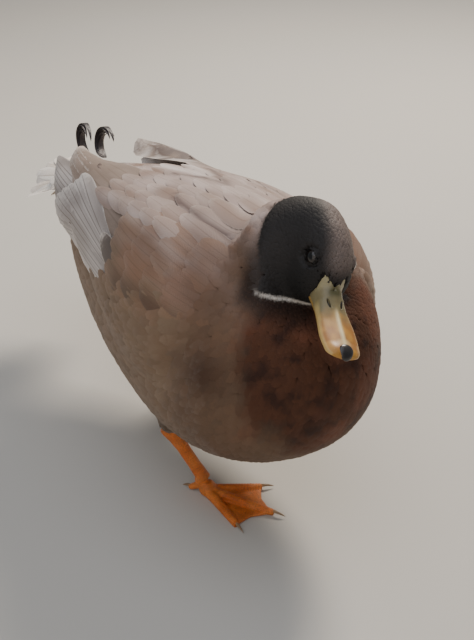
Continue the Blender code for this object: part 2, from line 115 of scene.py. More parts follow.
class ValueNoise:
    """Soft random values on points in space, the same on each run."""

    def __init__(self, seed: int) -> None:
        """Draws the lattice values."""
        self.table = np.random.default_rng(seed).random(4096)

    def __call__(self, points: Rows, size: float) -> Rows:
        """Reads the noise.

        Args:
            points: Rows of x, y, z.
            size: How wide a patch of the noise is, in the points' own unit.

        Returns:
            One value from 0 to 1 for each point.
        """
        scaled = points / size
        cell = np.floor(scaled).astype(np.int64)
        part = scaled - cell
        part = part * part * (3 - 2 * part)
        total = np.zeros(points.shape[:-1])
        for corner in range(8):
            offset = np.array([corner & 1, corner >> 1 & 1, corner >> 2 & 1])
            key = (cell + offset) * np.array([73856093, 19349663, 83492791])
            value = self.table[np.bitwise_xor.reduce(key, axis=-1) % 4096]
            weight = np.where(offset == 1, part, 1 - part).prod(axis=-1)
            total += value * weight
        return total


NOISE = ValueNoise(SEED)


# --------------------------------------------------------------------
# Finishes
# --------------------------------------------------------------------


def add_node(tree: NodeTree, kind: str, settings: dict | None = None, links: dict | None = None) -> Node:
    """Adds a shader node with its settings and its incoming links.

    Args:
        tree: The material's node tree.
        kind: The node's type name after ShaderNode, which all of them start with.
        settings: Values by property name, or by input name or number.
        links: Output sockets by input name or number.

    Returns:
        The new node.
    """
    node = tree.nodes.new(f"ShaderNode{kind}")
    for key, value in (settings or {}).items():
        if isinstance(key, str) and hasattr(node, key):
            setattr(node, key, value)
        else:
            node.inputs[key].default_value = value
    for key, output in (links or {}).items():
        tree.links.new(output, node.inputs[key])
    return node


def new_material(name: str, values: dict) -> tuple:
    """Starts a material.

    Args:
        name: The material's name.
        values: Constant values of its Principled shader, by input name.

    Returns:
        The material, its node tree and its Principled shader.
    """
    made = bpy.data.materials.new(name)
    made.use_nodes = True
    shader = made.node_tree.nodes["Principled BSDF"]
    for key, value in values.items():
        shader.inputs[key].default_value = value
    return made, made.node_tree, shader


def rgba(colour: str) -> tuple:
    """Gives a hex colour as a socket's four linear channels."""
    return (*(float(c) for c in linear(colour)), 1.0)


@dataclass(frozen=True)
class Plumage:
    """Feather keratin: matt barbs that scatter light, a paler or darker fringe, and a shaft down the middle.

    The colour comes from each feather's own tint, so that skin and coat carry the same markings.
    """

    name: str
    roughness: float = 0.72
    sheen: float = 0.25
    sheen_tint: str = "D8CCC2"
    sheen_roughness: float = 0.45
    specular: float = 0.32
    fringe: str = "CFC3B8"  # what the outer edge of a vane fades to
    fringe_from: float = 0.72  # how far out on a vane the fringe begins
    fray: float = 0.22  # how far in the wisps cut the fringe
    shaft: str = "4A3B31"
    shaft_share: float = 0.0
    shaft_width: tuple = (0.03, 0.07)  # shares of the vane where the shaft starts to fade and has faded
    barb_mm: float = 1.1  # real barbs are about 0.3 mm apart: drawn coarser, so that they show
    barb_share: float = 0.16
    barb_slant: float = 0.9  # how far towards the tip a barb runs for each millimetre outwards
    barb_wander: float = 1.4  # how far the wisps bend a barb, in barbs
    wisps_per_metre: float = 420.0  # wisps of barbs that cling together are about 2.4 mm wide
    bump: float = 0.35
    barb_depth: float = 0.12 * MM

    def build(self) -> Material:
        """Makes the material.

        Returns:
            The material.
        """
        values = {"Roughness": self.roughness, "IOR": KERATIN_IOR, "Specular IOR Level": self.specular}
        values |= {"Sheen Weight": self.sheen, "Sheen Tint": rgba(self.sheen_tint)}
        made, tree, shader = new_material(self.name, values | {"Sheen Roughness": self.sheen_roughness})
        tint = add_node(tree, "Attribute", {"attribute_name": "tint"})
        vane = add_node(tree, "Attribute", {"attribute_name": "vane"})
        barb = add_node(tree, "Attribute", {"attribute_name": "barb"})
        split = add_node(tree, "SeparateXYZ", links={0: vane.outputs["Vector"]})
        lengths = add_node(tree, "SeparateXYZ", links={0: barb.outputs["Vector"]})
        coords = add_node(tree, "TexCoord")
        noise = {"Scale": self.wisps_per_metre, "Detail": 2.0}
        wisps = add_node(tree, "TexNoise", noise, {"Vector": coords.outputs["Object"]}).outputs["Fac"]
        across = add_node(tree, "Math", {"operation": "ABSOLUTE"}, {0: split.outputs[0]})

        out = add_node(tree, "Math", {"operation": "ABSOLUTE"}, {0: lengths.outputs[0]})
        settings = {"operation": "MULTIPLY_ADD", 1: -self.barb_slant}
        slanted = add_node(tree, "Math", settings, {0: out.outputs[0], 2: lengths.outputs[1]})
        settings = {"operation": "MULTIPLY_ADD", 1: self.barb_mm * self.barb_wander}
        wander = add_node(tree, "Math", settings, {0: wisps, 2: slanted.outputs[0]})
        settings = {"operation": "MULTIPLY", 1: 2 * math.pi / self.barb_mm}
        turns = add_node(tree, "Math", settings, {0: wander.outputs[0]})
        wave = add_node(tree, "Math", {"operation": "SINE"}, {0: turns.outputs[0]})
        settings = {"From Min": -1.0, "To Min": 1 - self.barb_share, "To Max": 1 + self.barb_share}
        line = add_node(tree, "MapRange", settings, {"Value": wave.outputs[0]})

        ends = {0: across.outputs[0], 1: split.outputs[1]}
        reach = add_node(tree, "Math", {"operation": "MAXIMUM"}, ends)
        settings = {"operation": "MULTIPLY_ADD", 1: self.fray}
        torn = add_node(tree, "Math", settings, {0: wisps, 2: reach.outputs[0]})
        settings = {"interpolation_type": "SMOOTHSTEP", "From Min": self.fringe_from + 0.11, "From Max": 1.16}
        edge = add_node(tree, "MapRange", settings, {"Value": torn.outputs[0]})
        ends = {0: edge.outputs[0], 1: tint.outputs["Alpha"]}
        share = add_node(tree, "Math", {"operation": "MULTIPLY"}, ends)
        ends = {0: share.outputs[0], 6: tint.outputs["Color"]}
        fringed = add_node(tree, "Mix", {"data_type": "RGBA", 7: rgba(self.fringe)}, ends)
        low, high = self.shaft_width
        settings = {"From Min": low, "From Max": high, "To Min": self.shaft_share, "To Max": 0.0}
        spine = add_node(tree, "MapRange", settings, {"Value": across.outputs[0]})
        ends = {0: spine.outputs[0], 6: fringed.outputs[2]}
        shafted = add_node(tree, "Mix", {"data_type": "RGBA", 7: rgba(self.shaft)}, ends)
        ends = {0: shafted.outputs[2], "Scale": line.outputs[0]}
        lined = add_node(tree, "VectorMath", {"operation": "SCALE"}, ends)
        tree.links.new(lined.outputs[0], shader.inputs["Base Color"])
        settings = {"Strength": self.bump, "Distance": self.barb_depth}
        raised = add_node(tree, "Bump", settings, {"Height": wave.outputs[0]})
        tree.links.new(raised.outputs[0], shader.inputs["Normal"])
        return made


@dataclass(frozen=True)
class BareSkin:
    """Skin and down under the coat: dull, and as dark as the depth of the coat makes it."""

    name: str = "skin_and_down"
    tufts_per_metre: float = 900.0  # tufts of down are about 1.1 mm wide
    tuft_depth: float = 0.2 * MM

    def build(self) -> Material:
        """Makes the material.

        Returns:
            The material.
        """
        made, tree, shader = new_material(self.name, {"Roughness": 0.85, "Specular IOR Level": 0.2})
        tint = add_node(tree, "Attribute", {"attribute_name": "tint"})
        coords = add_node(tree, "TexCoord")
        noise = {"Scale": self.tufts_per_metre, "Detail": 3.0}
        down = add_node(tree, "TexNoise", noise, {"Vector": coords.outputs["Object"]})
        shade = add_node(tree, "MapRange", {"To Min": 0.7, "To Max": 1.1}, {"Value": down.outputs["Fac"]})
        ends = {0: tint.outputs["Color"], "Scale": shade.outputs[0]}
        shaded = add_node(tree, "VectorMath", {"operation": "SCALE"}, ends)
        tree.links.new(shaded.outputs[0], shader.inputs["Base Color"])
        settings = {"Strength": 0.4, "Distance": self.tuft_depth}
        raised = add_node(tree, "Bump", settings, {"Height": down.outputs["Fac"]})
        tree.links.new(raised.outputs[0], shader.inputs["Normal"])
        return made


@dataclass(frozen=True)
class Horn:
    """Grown keratin horn, as on a bill or claw: a smooth, faintly waxy face with long growth streaks."""

    name: str
    roughness: float
    coat: float
    streak_mm: float = 1.6
    streak_slowness: float = 0.12  # how much slower the streaks change along the horn than across it
    streak_share: float = 0.10
    clouds_per_metre: float = 260.0  # worn patches are about 3.8 mm wide
    bump: float = 0.25
    streak_depth: float = 0.1 * MM

    def build(self) -> Material:
        """Makes the material. Its colour comes from the piece's own tint.

        Returns:
            The material.
        """
        values = {"IOR": KERATIN_IOR, "Coat Weight": self.coat, "Coat Roughness": 0.28}
        values |= {"Subsurface Weight": 0.08, "Subsurface Radius": (0.6, 0.35, 0.15)}
        made, tree, shader = new_material(self.name, values | {"Subsurface Scale": 2 * MM})
        tint = add_node(tree, "Attribute", {"attribute_name": "tint"})
        grain = add_node(tree, "Attribute", {"attribute_name": "barb"})
        settings = {"Scale": (1.0 / self.streak_mm, self.streak_slowness / self.streak_mm, 1.0)}
        stretch = add_node(tree, "Mapping", settings, {"Vector": grain.outputs["Vector"]})
        noise = {"Scale": 1.0, "Detail": 4.0}
        streaks = add_node(tree, "TexNoise", noise, {"Vector": stretch.outputs[0]})
        coords = add_node(tree, "TexCoord")
        noise = {"Scale": self.clouds_per_metre, "Detail": 4.0}
        clouds = add_node(tree, "TexNoise", noise, {"Vector": coords.outputs["Object"]}).outputs["Fac"]
        both = add_node(tree, "Math", {"operation": "ADD"}, {0: streaks.outputs["Fac"], 1: clouds})
        settings = {"From Min": 0.6, "From Max": 1.4}
        settings |= {"To Min": 1 - self.streak_share, "To Max": 1 + self.streak_share}
        line = add_node(tree, "MapRange", settings, {"Value": both.outputs[0]})
        ends = {0: tint.outputs["Color"], "Scale": line.outputs[0]}
        lined = add_node(tree, "VectorMath", {"operation": "SCALE"}, ends)
        tree.links.new(lined.outputs[0], shader.inputs["Base Color"])
        settings = {"To Min": self.roughness - 0.08, "To Max": self.roughness + 0.12}
        worn = add_node(tree, "MapRange", settings, {"Value": clouds})
        tree.links.new(worn.outputs[0], shader.inputs["Roughness"])
        settings = {"Strength": self.bump, "Distance": self.streak_depth}
        raised = add_node(tree, "Bump", settings, {"Height": both.outputs[0]})
        tree.links.new(raised.outputs[0], shader.inputs["Normal"])
        return made


@dataclass(frozen=True)
class WetEye:
    """A living eye: a clear, wet cornea over a dark brown iris and a black pupil."""

    name: str = "wet_eye"
    cornea_ior: float = 1.376

    def build(self) -> Material:
        """Makes the material.

        Returns:
            The material.
        """
        values = {"Roughness": 0.22, "IOR": self.cornea_ior, "Coat IOR": self.cornea_ior}
        values |= {"Coat Weight": 1.0, "Coat Roughness": 0.02}
        made, tree, shader = new_material(self.name, values)
        tint = add_node(tree, "Attribute", {"attribute_name": "tint"})
        tree.links.new(tint.outputs["Color"], shader.inputs["Base Color"])
        return made


@dataclass(frozen=True)
class ScalySkin:
    """Skin of legs and webs: leathery, with small plates all over."""

    name: str = "scaly_leg_skin"
    plate_mm: float = 1.1
    plate_depth: float = 0.25 * MM
    stains_per_metre: float = 180.0  # stains are about 5.6 mm wide

    def build(self) -> Material:
        """Makes the material.

        Returns:
            The material.
        """
        values = {"Roughness": 0.48, "IOR": 1.5, "Subsurface Weight": 0.12}
        values |= {"Subsurface Radius": (1.0, 0.35, 0.12), "Subsurface Scale": 1.5 * MM}
        made, tree, shader = new_material(self.name, values)
        tint = add_node(tree, "Attribute", {"attribute_name": "tint"})
        place = {"Vector": add_node(tree, "TexCoord").outputs["Object"]}
        settings = {"feature": "DISTANCE_TO_EDGE", "Scale": 1 / (self.plate_mm * MM), "Randomness": 0.8}
        cells = add_node(tree, "TexVoronoi", settings, place)
        settings = {"interpolation_type": "SMOOTHSTEP", "From Max": 0.14}
        groove = add_node(tree, "MapRange", settings, {"Value": cells.outputs["Distance"]})
        stain = add_node(tree, "TexNoise", {"Scale": self.stains_per_metre, "Detail": 5.0}, place)
        settings = {"From Min": 0.3, "From Max": 0.7, "To Min": 0.78, "To Max": 1.12}
        dirt = add_node(tree, "MapRange", settings, {"Value": stain.outputs["Fac"]})
        depth = add_node(tree, "MapRange", {"To Min": 0.62}, {"Value": groove.outputs[0]})
        ends = {0: dirt.outputs[0], 1: depth.outputs[0]}
        shade = add_node(tree, "Math", {"operation": "MULTIPLY"}, ends)
        ends = {0: tint.outputs["Color"], "Scale": shade.outputs[0]}
        shaded = add_node(tree, "VectorMath", {"operation": "SCALE"}, ends)
        tree.links.new(shaded.outputs[0], shader.inputs["Base Color"])
        settings = {"Strength": 0.6, "Distance": self.plate_depth}
        raised = add_node(tree, "Bump", settings, {"Height": groove.outputs[0]})
        tree.links.new(raised.outputs[0], shader.inputs["Normal"])
        return made


@dataclass(frozen=True)
class PaintedFloor:
    """A pale painted studio floor: matt, with almost no pattern."""

    name: str = "pale_studio_floor"
    colour: str = "C9C5BD"
    clouds_per_metre: float = 3.0

    def build(self) -> Material:
        """Makes the material.

        Returns:
            The material.
        """
        made, tree, shader = new_material(self.name, {"Roughness": 0.9, "Specular IOR Level": 0.2})
        coords = add_node(tree, "TexCoord")
        noise = {"Scale": self.clouds_per_metre, "Detail": 3.0}
        clouds = add_node(tree, "TexNoise", noise, {"Vector": coords.outputs["Object"]})
        settings = {"To Min": 0.97, "To Max": 1.03}
        shade = add_node(tree, "MapRange", settings, {"Value": clouds.outputs["Fac"]})
        settings = {"operation": "SCALE", 0: rgba(self.colour)[:3]}
        paint = add_node(tree, "VectorMath", settings, {"Scale": shade.outputs[0]})
        tree.links.new(paint.outputs[0], shader.inputs["Base Color"])
        return made


# --------------------------------------------------------------------
# Shapes that the pieces share
# --------------------------------------------------------------------


class Lens:
    """A closed round shape from root to tip, taken from a sphere, whose points a rule then lays out."""

    def __init__(self, sides: int, rings: int) -> None:
        """Reads the sphere.

        Args:
            sides: Points round each ring.
            rings: Steps from the root's pole to the tip's pole.
        """
        bm = bmesh.new()
        bmesh.ops.create_uvsphere(bm, u_segments=sides, v_segments=rings, radius=1.0)
        bm.verts.ensure_lookup_table()
        spots = np.array([v.co for v in bm.verts])
        self.faces = [[v.index for v in f.verts] for f in bm.faces]
        bm.free()
        self.rings = rings
        self.level = np.rint((1 - np.arccos(np.clip(spots[:, 2], -1, 1)) / math.pi) * rings).astype(int)
        angle = np.arctan2(spots[:, 1], spots[:, 0])
        pole = (self.level == 0) | (self.level == rings)
        self.across = np.where(pole, 0.0, np.round(np.cos(angle), 9))
        self.rise = np.where(pole, 0.0, np.round(np.sin(angle), 9))
        self.along = self.level / rings


def mesh_from_copies(name: str, lens: Lens, spots: Rows) -> Mesh:
    """Joins many laid-out copies of a lens into one mesh.

    Args:
        name: The mesh's name.
        lens: The shape that is repeated.
        spots: Points as copy, point, xyz.

    Returns:
        The mesh, shaded smooth across each vane and sharp at its rim.
    """
    copies, points = spots.shape[:2]
    corners = np.concatenate([np.array(f) for f in lens.faces])
    sizes = np.array([len(f) for f in lens.faces])
    offset = np.arange(copies)[:, None] * points
    mesh = bpy.data.meshes.new(name)
    mesh.vertices.add(copies * points)
    mesh.vertices.foreach_set("co", spots.reshape(-1).astype(np.float32))
    mesh.loops.add(copies * len(corners))
    mesh.loops.foreach_set("vertex_index", (corners[None] + offset).reshape(-1).astype(np.int32))
    starts = np.cumsum(np.concatenate([[0], np.tile(sizes, copies)[:-1]]))
    mesh.polygons.add(len(starts))
    mesh.polygons.foreach_set("loop_start", starts.astype(np.int32))
    mesh.update(calc_edges=True)
    mesh.validate()
    mesh.shade_smooth()
    mesh.set_sharp_from_angle(angle=math.radians(60))
    return mesh


def write_attributes(mesh: Mesh, **attributes: Rows) -> None:
    """Writes attributes on a mesh's points.

    Args:
        mesh: The mesh.
        attributes: By name, one row for each point, of four numbers for a colour and three for a vector.
    """
    for name, values in attributes.items():
        kind, key = ("FLOAT_COLOR", "color") if values.shape[-1] == 4 else ("FLOAT_VECTOR", "vector")
        made = mesh.attributes.new(name, kind, "POINT")
        made.data.foreach_set(key, values.reshape(-1).astype(np.float32))


def with_fringe(colour: Rows, fringe: float = 1.0) -> Rows:
    """Adds how strongly a feather is fringed to its rows of colours."""
    return np.concatenate([colour, np.full((len(colour), 1), fringe)], 1)


def write_bake_map(mesh: Mesh, places: Rows) -> None:
    """Writes the bake map from one place for each point of the mesh.

    Args:
        mesh: The mesh.
        places: One place on the map for each point.
    """
    corners = np.empty(len(mesh.loops), np.int32)
    mesh.loops.foreach_get("vertex_index", corners)
    layer = mesh.uv_layers.new(name="OFBake")
    layer.data.foreach_set("uv", places[corners].reshape(-1).astype(np.float32))


def points_of(mesh: Mesh, what: str = "co") -> Rows:
    """Reads the points or the normals of a mesh as rows.

    Args:
        mesh: The mesh.
        what: co for points or normal for normals.

    Returns:
        Rows of x, y, z.
    """
    values = np.empty(len(mesh.vertices) * 3, np.float32)
    mesh.vertices.foreach_get(what, values)
    return values.reshape(-1, 3).astype(float)


def node_names(patterns: tuple) -> list:
    """Lists CAD nodes, where {} in a pattern stands for each side."""
    return [name for p in patterns for name in sorted({p.format("right"), p.format("left")})]


def joined_nodes(patterns: tuple, swell: float) -> BMesh:
    """Joins copies of CAD nodes, with their doubles merged.

    Args:
        patterns: The nodes' names, where {} stands for each side.
        swell: How far each copy grows first, so that thin gaps close.

    Returns:
        One bmesh of them all.
    """
    joined = bmesh.new()
    for name in node_names(patterns):
        part = bmesh.new()
        part.from_mesh(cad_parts[name].data)
        bmesh.ops.remove_doubles(part, verts=part.verts, dist=0.01 * MM)
        part.normal_update()
        for vert in part.verts:
            vert.co += vert.normal * swell
        copied = bpy.data.meshes.new("copied")
        part.to_mesh(copied)
        part.free()
        joined.from_mesh(copied)
        bpy.data.meshes.remove(copied)
    return joined


def evened(bm: BMesh, voxel: float) -> Mesh:
    """Merges overlapping bodies into one even mesh.

    Args:
        bm: The bodies, which are freed.
        voxel: The size of the even mesh's faces.

    Returns:
        The even mesh.
    """
    mesh = bpy.data.meshes.new("joined")
    bm.to_mesh(mesh)
    bm.free()
    holder = bpy.data.objects.new("joined", mesh)
    bpy.context.scene.collection.objects.link(holder)
    remesh = holder.modifiers.new("Even", "REMESH")
    remesh.mode = "VOXEL"
    remesh.voxel_size = voxel
    graph = bpy.context.evaluated_depsgraph_get()
    even = bpy.data.meshes.new_from_object(holder.evaluated_get(graph))
    bpy.data.objects.remove(holder)
    return even


def relax(bm: BMesh, verts: list, times: int) -> None:
    """Moves points towards the middle of their neighbours, some times over."""
    for _ in range(times):
        bmesh.ops.smooth_vert(bm, verts=verts, factor=0.5, use_axis_x=True, use_axis_y=True, use_axis_z=True)


def place_piece(mesh: Mesh, finish: Material, replaced: tuple = ()) -> Object:
    """Makes a piece of the duck from a finished mesh.

    Args:
        mesh: The mesh, in its place. The piece takes its name.
        finish: The piece's material.
        replaced: CAD nodes that the piece stands for.

    Returns:
        The piece's object.
    """
    piece = bpy.data.objects.new(mesh.name, mesh)
    bpy.context.scene.collection.objects.link(piece)
    mesh.materials.clear()
    mesh.materials.append(finish)
    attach(piece, ROOT_BODY)
    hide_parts(*replaced)
    log.info("%s: %d faces", mesh.name, len(mesh.polygons))
    return piece


# --------------------------------------------------------------------
# Where things are
# --------------------------------------------------------------------


@dataclass
class HeadFrame:
    """The head's own frame: forward along the mouth line from the forehead's front, up from it, and right."""

    place: tuple = (0.1658, 0.1813, 0.0063)  # forward, up and right in the frame
    yaw: float = math.radians(-19)
    pitch: float = math.radians(15.3)
    roll: float = math.radians(20)
    scale: float = 0.94

    def matrix(self) -> Matrix:
        """Carries a point from the head's frame to its place.

        Returns:
            The matrix.
        """
        turn = Matrix.Rotation(self.yaw, 4, "Z") @ Matrix.Rotation(self.pitch, 4, "X")
        turn = turn @ Matrix.Rotation(self.roll, 4, "Y")
        return Matrix.Translation(at(*self.place)) @ turn @ Matrix.Scale(self.scale, 4)

    def inward(self, points: Rows) -> Rows:
        """Gives points as forward, up and right in the head's frame, in millimetres.

        Args:
            points: Rows of x, y, z.

        Returns:
            Rows of forward, up, right.
        """
        carry = np.array(self.matrix().inverted())
        local = points @ carry[:3, :3].T + carry[:3, 3]
        return np.stack([-local[..., 1], local[..., 2], -local[..., 0]], -1) / MM

    def outward(self, places: Rows) -> Rows:
        """Carries forward, up and right in millimetres to points in the frame.

        Args:
            places: Rows of forward, up, right.

        Returns:
            Rows of x, y, z.
        """
        local = np.stack([-places[..., 2], -places[..., 0], places[..., 1]], -1) * MM
        carry = np.array(self.matrix())
        return local @ carry[:3, :3].T + carry[:3, 3]


@dataclass
class Eyes:
    """Where the two eyeballs are and how wide the lids open, in the head's frame and in millimetres."""

    head: HeadFrame
    radius_mm: float = 5.4
    place_mm: tuple = (-16.0, 17.0, 9.4)  # forward, up and out
    look: tuple = (0.30, 0.16, 0.94)  # where an eye looks: forward, up and out
    opening_mm: tuple = (3.9, 3.4)  # half the length and half the height between the lids

    def axes(self, side: int) -> tuple:
        """Gives an eye's middle and its three axes in the head's frame.

        Args:
            side: 1 for the right eye and -1 for the left.

        Returns:
            The middle, the way it looks, along the lids and across them, as forward, up, right.
        """
        middle = np.array(self.place_mm) * (1, 1, side)
        out = unit(np.array(self.look) * (1, 1, side))
        lids = unit(np.array([1.0, -0.12, 0.0]) - out * np.dot(out, [1.0, -0.12, 0.0]))
        return middle, out, lids, np.cross(out, lids)

    def reach(self, places: Rows) -> Rows:
        """Gives how far points are from the nearer eye's middle, where 1 is the rim of the lids.

        Args:
            places: Rows of forward, up, right.

        Returns:
            One number for each row.
        """
        best = np.full(places.shape[:-1], FAR)
        for side in (1, -1):
            middle, out, lids, across = self.axes(side)
            from_eye = places - middle
            part = np.hypot(from_eye @ lids / self.opening_mm[0], from_eye @ across / self.opening_mm[1])
            best = np.where(from_eye @ out > 0, np.minimum(best, part), best)
        return best


@dataclass
class BillEdge:
    """The line where the face's feathers stop: a wedge down the forehead, two arms beside it, the cheeks."""

    wedge_mm: float = 2.2  # how far forward the wedge's tip lies
    arm_mm: float = 6.0  # how far out the arms' inner edges end
    cheek_up: tuple = (-9, -4.8, 0.0, 7.7, 12.5, 15.5)
    cheek_forward: tuple = (-6.2, -5.6, -4.2, -2.9, -3.9, -5.0)

    def margin(self, places: Rows) -> Rows:
        """Gives how far forward the feathers reach, for points as forward, up, right in millimetres.

        Args:
            places: Rows of forward, up, right.

        Returns:
            One number for each row.
        """
        side = np.abs(places[..., 2])
        cheek = np.interp(places[..., 1], self.cheek_up, self.cheek_forward)
        wedge = self.wedge_mm - 6.6 * (side / self.arm_mm) ** 0.8
        top = places[..., 1] > 7.0
        return np.where(top & (side < self.arm_mm), np.maximum(wedge, cheek - 0.8), cheek)

    def bare(self, places: Rows) -> Rows:
        """Gives how far in front of the feathers' edge points lie, in millimetres."""
        return places[..., 0] - self.margin(places)


@dataclass
class Lean:
    """The body leans a little to its left, about a line along it at some height."""

    angle: float = math.radians(6)
    height: float = 0.120
    aside: float = 0.0039
    axis_up: float = 0.130  # height of the line that angles on the body are measured about

    def polar(self, points: Rows) -> tuple:
        """Gives points as places on the body.

        Args:
            points: Rows of x, y, z.

        Returns:
            Forward in millimetres, the angle in degrees with 0 at the right side and 90 at the back, and the
            distance from the body's line in millimetres.
        """
        x, z = points[..., 0] + self.aside, points[..., 2] - self.height
        c, s = math.cos(-self.angle), math.sin(-self.angle)
        right = -(x * c + z * s)
        up = -x * s + z * c + self.height - self.axis_up
        return -points[..., 1] / MM, np.degrees(np.arctan2(up, right)), np.hypot(right, up) / MM

    def put(self, forward: Rows, right: Rows, up: Rows) -> Rows:
        """Carries places given in millimetres on the upright body to points in the frame.

        Args:
            forward: Places along the body.
            right: Places to its right.
            up: Heights over the floor.

        Returns:
            Rows of x, y, z.
        """
        x, z = -np.asarray(right) * MM, np.asarray(up) * MM - self.height
        c, s = math.cos(self.angle), math.sin(self.angle)
        out, high = x * c + z * s - self.aside, -x * s + z * c + self.height
        return np.stack([out, -np.asarray(forward) * MM, high], -1)

    def cartesian(self, forward: Rows, angle: Rows, radius: Rows) -> Rows:
        """Carries places on the body, in millimetres and degrees, to points in the frame."""
        turn = np.radians(angle)
        return self.put(forward, np.cos(turn) * radius, np.sin(turn) * radius + self.axis_up / MM)


class Mantle:
    """The outer surface that the long feathers lie on, as a smooth distance from the body's line."""

    NODES = ("trunk", "neck", "tail", "wing_{}", "tertials_{}", "primaries_{}")

    def __init__(self, lean: Lean) -> None:
        """Measures the solids and evens out their steps.

        Args:
            lean: How the body leans.
        """
        self.lean = lean
        self.forward = np.arange(-152.0, 164.0, 4.0)
        self.angle = np.arange(-90.0, 274.0, 4.0)
        bm = bmesh.new()
        for name in node_names(self.NODES):
            bm.from_mesh(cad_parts[name].data)
        tree = BVHTree.FromBMesh(bm)
        bm.free()
        radius = np.full((len(self.forward), len(self.angle)), np.nan)
        for i, forward in enumerate(self.forward):
            for j, angle in enumerate(self.angle):
                far, near = lean.cartesian(np.full(2, forward), np.full(2, angle), np.array([160.0, 0.0]))
                hit = tree.ray_cast(Vector(far), Vector(near - far), 0.16)[0]
                if hit is not None:
                    radius[i, j] = 160.0 - (hit - Vector(far)).length / MM
        known = ~np.isnan(radius)
        for i in np.flatnonzero(known.any(1)):
            radius[i] = np.interp(self.angle, self.angle[known[i]], radius[i][known[i]])
        measured = np.flatnonzero(known.any(1))
        for i in np.flatnonzero(~known.any(1)):
            radius[i] = radius[measured[np.argmin(abs(measured - i))]]
        radius = -self._spread(-self._spread(radius, 3), 3)
        for _ in range(2):
            padded = np.pad(radius, 1, mode="edge")
            around = padded[:-2, 1:-1] + padded[2:, 1:-1] + padded[1:-1, :-2] + padded[1:-1, 2:]
            radius = around / 8 + radius / 2
        self.radius = radius

    @staticmethod
    def _spread(radius: Rows, steps: int) -> Rows:
        """Raises each place of a grid to the highest of its neighbours, some steps wide.

        Args:
            radius: The grid.
            steps: How far the raise reaches.

        Returns:
            The raised grid.
        """
        for _ in range(steps):
            padded = np.pad(radius, 1, mode="edge")
            around = (padded[:-2, 1:-1], padded[2:, 1:-1], padded[1:-1, :-2], padded[1:-1, 2:])
            radius = np.maximum.reduce((radius, *around))
        return radius

    def surface(self, forward: Rows, angle: Rows, height_mm: Rows) -> Rows:
        """Gives points on the mantle.

        Args:
            forward: Places along the body in millimetres.
            angle: Angles round it in degrees.
            height_mm: Heights over the mantle in millimetres.

        Returns:
            Points in the frame.
        """
        i = np.clip((forward - self.forward[0]) / 4.0, 0, len(self.forward) - 1.001)
        j = np.clip((angle - self.angle[0]) / 4.0, 0, len(self.angle) - 1.001)
        i0, j0 = i.astype(int), j.astype(int)
        a, b = i - i0, j - j0
        grid = self.radius
        low = grid[i0, j0] * (1 - a) + grid[i0 + 1, j0] * a
        high = grid[i0, j0 + 1] * (1 - a) + grid[i0 + 1, j0 + 1] * a
        return self.lean.cartesian(forward, angle, low * (1 - b) + high * b + height_mm)


# --------------------------------------------------------------------
# Markings and the coat's measures, the same for skin and feathers
# --------------------------------------------------------------------


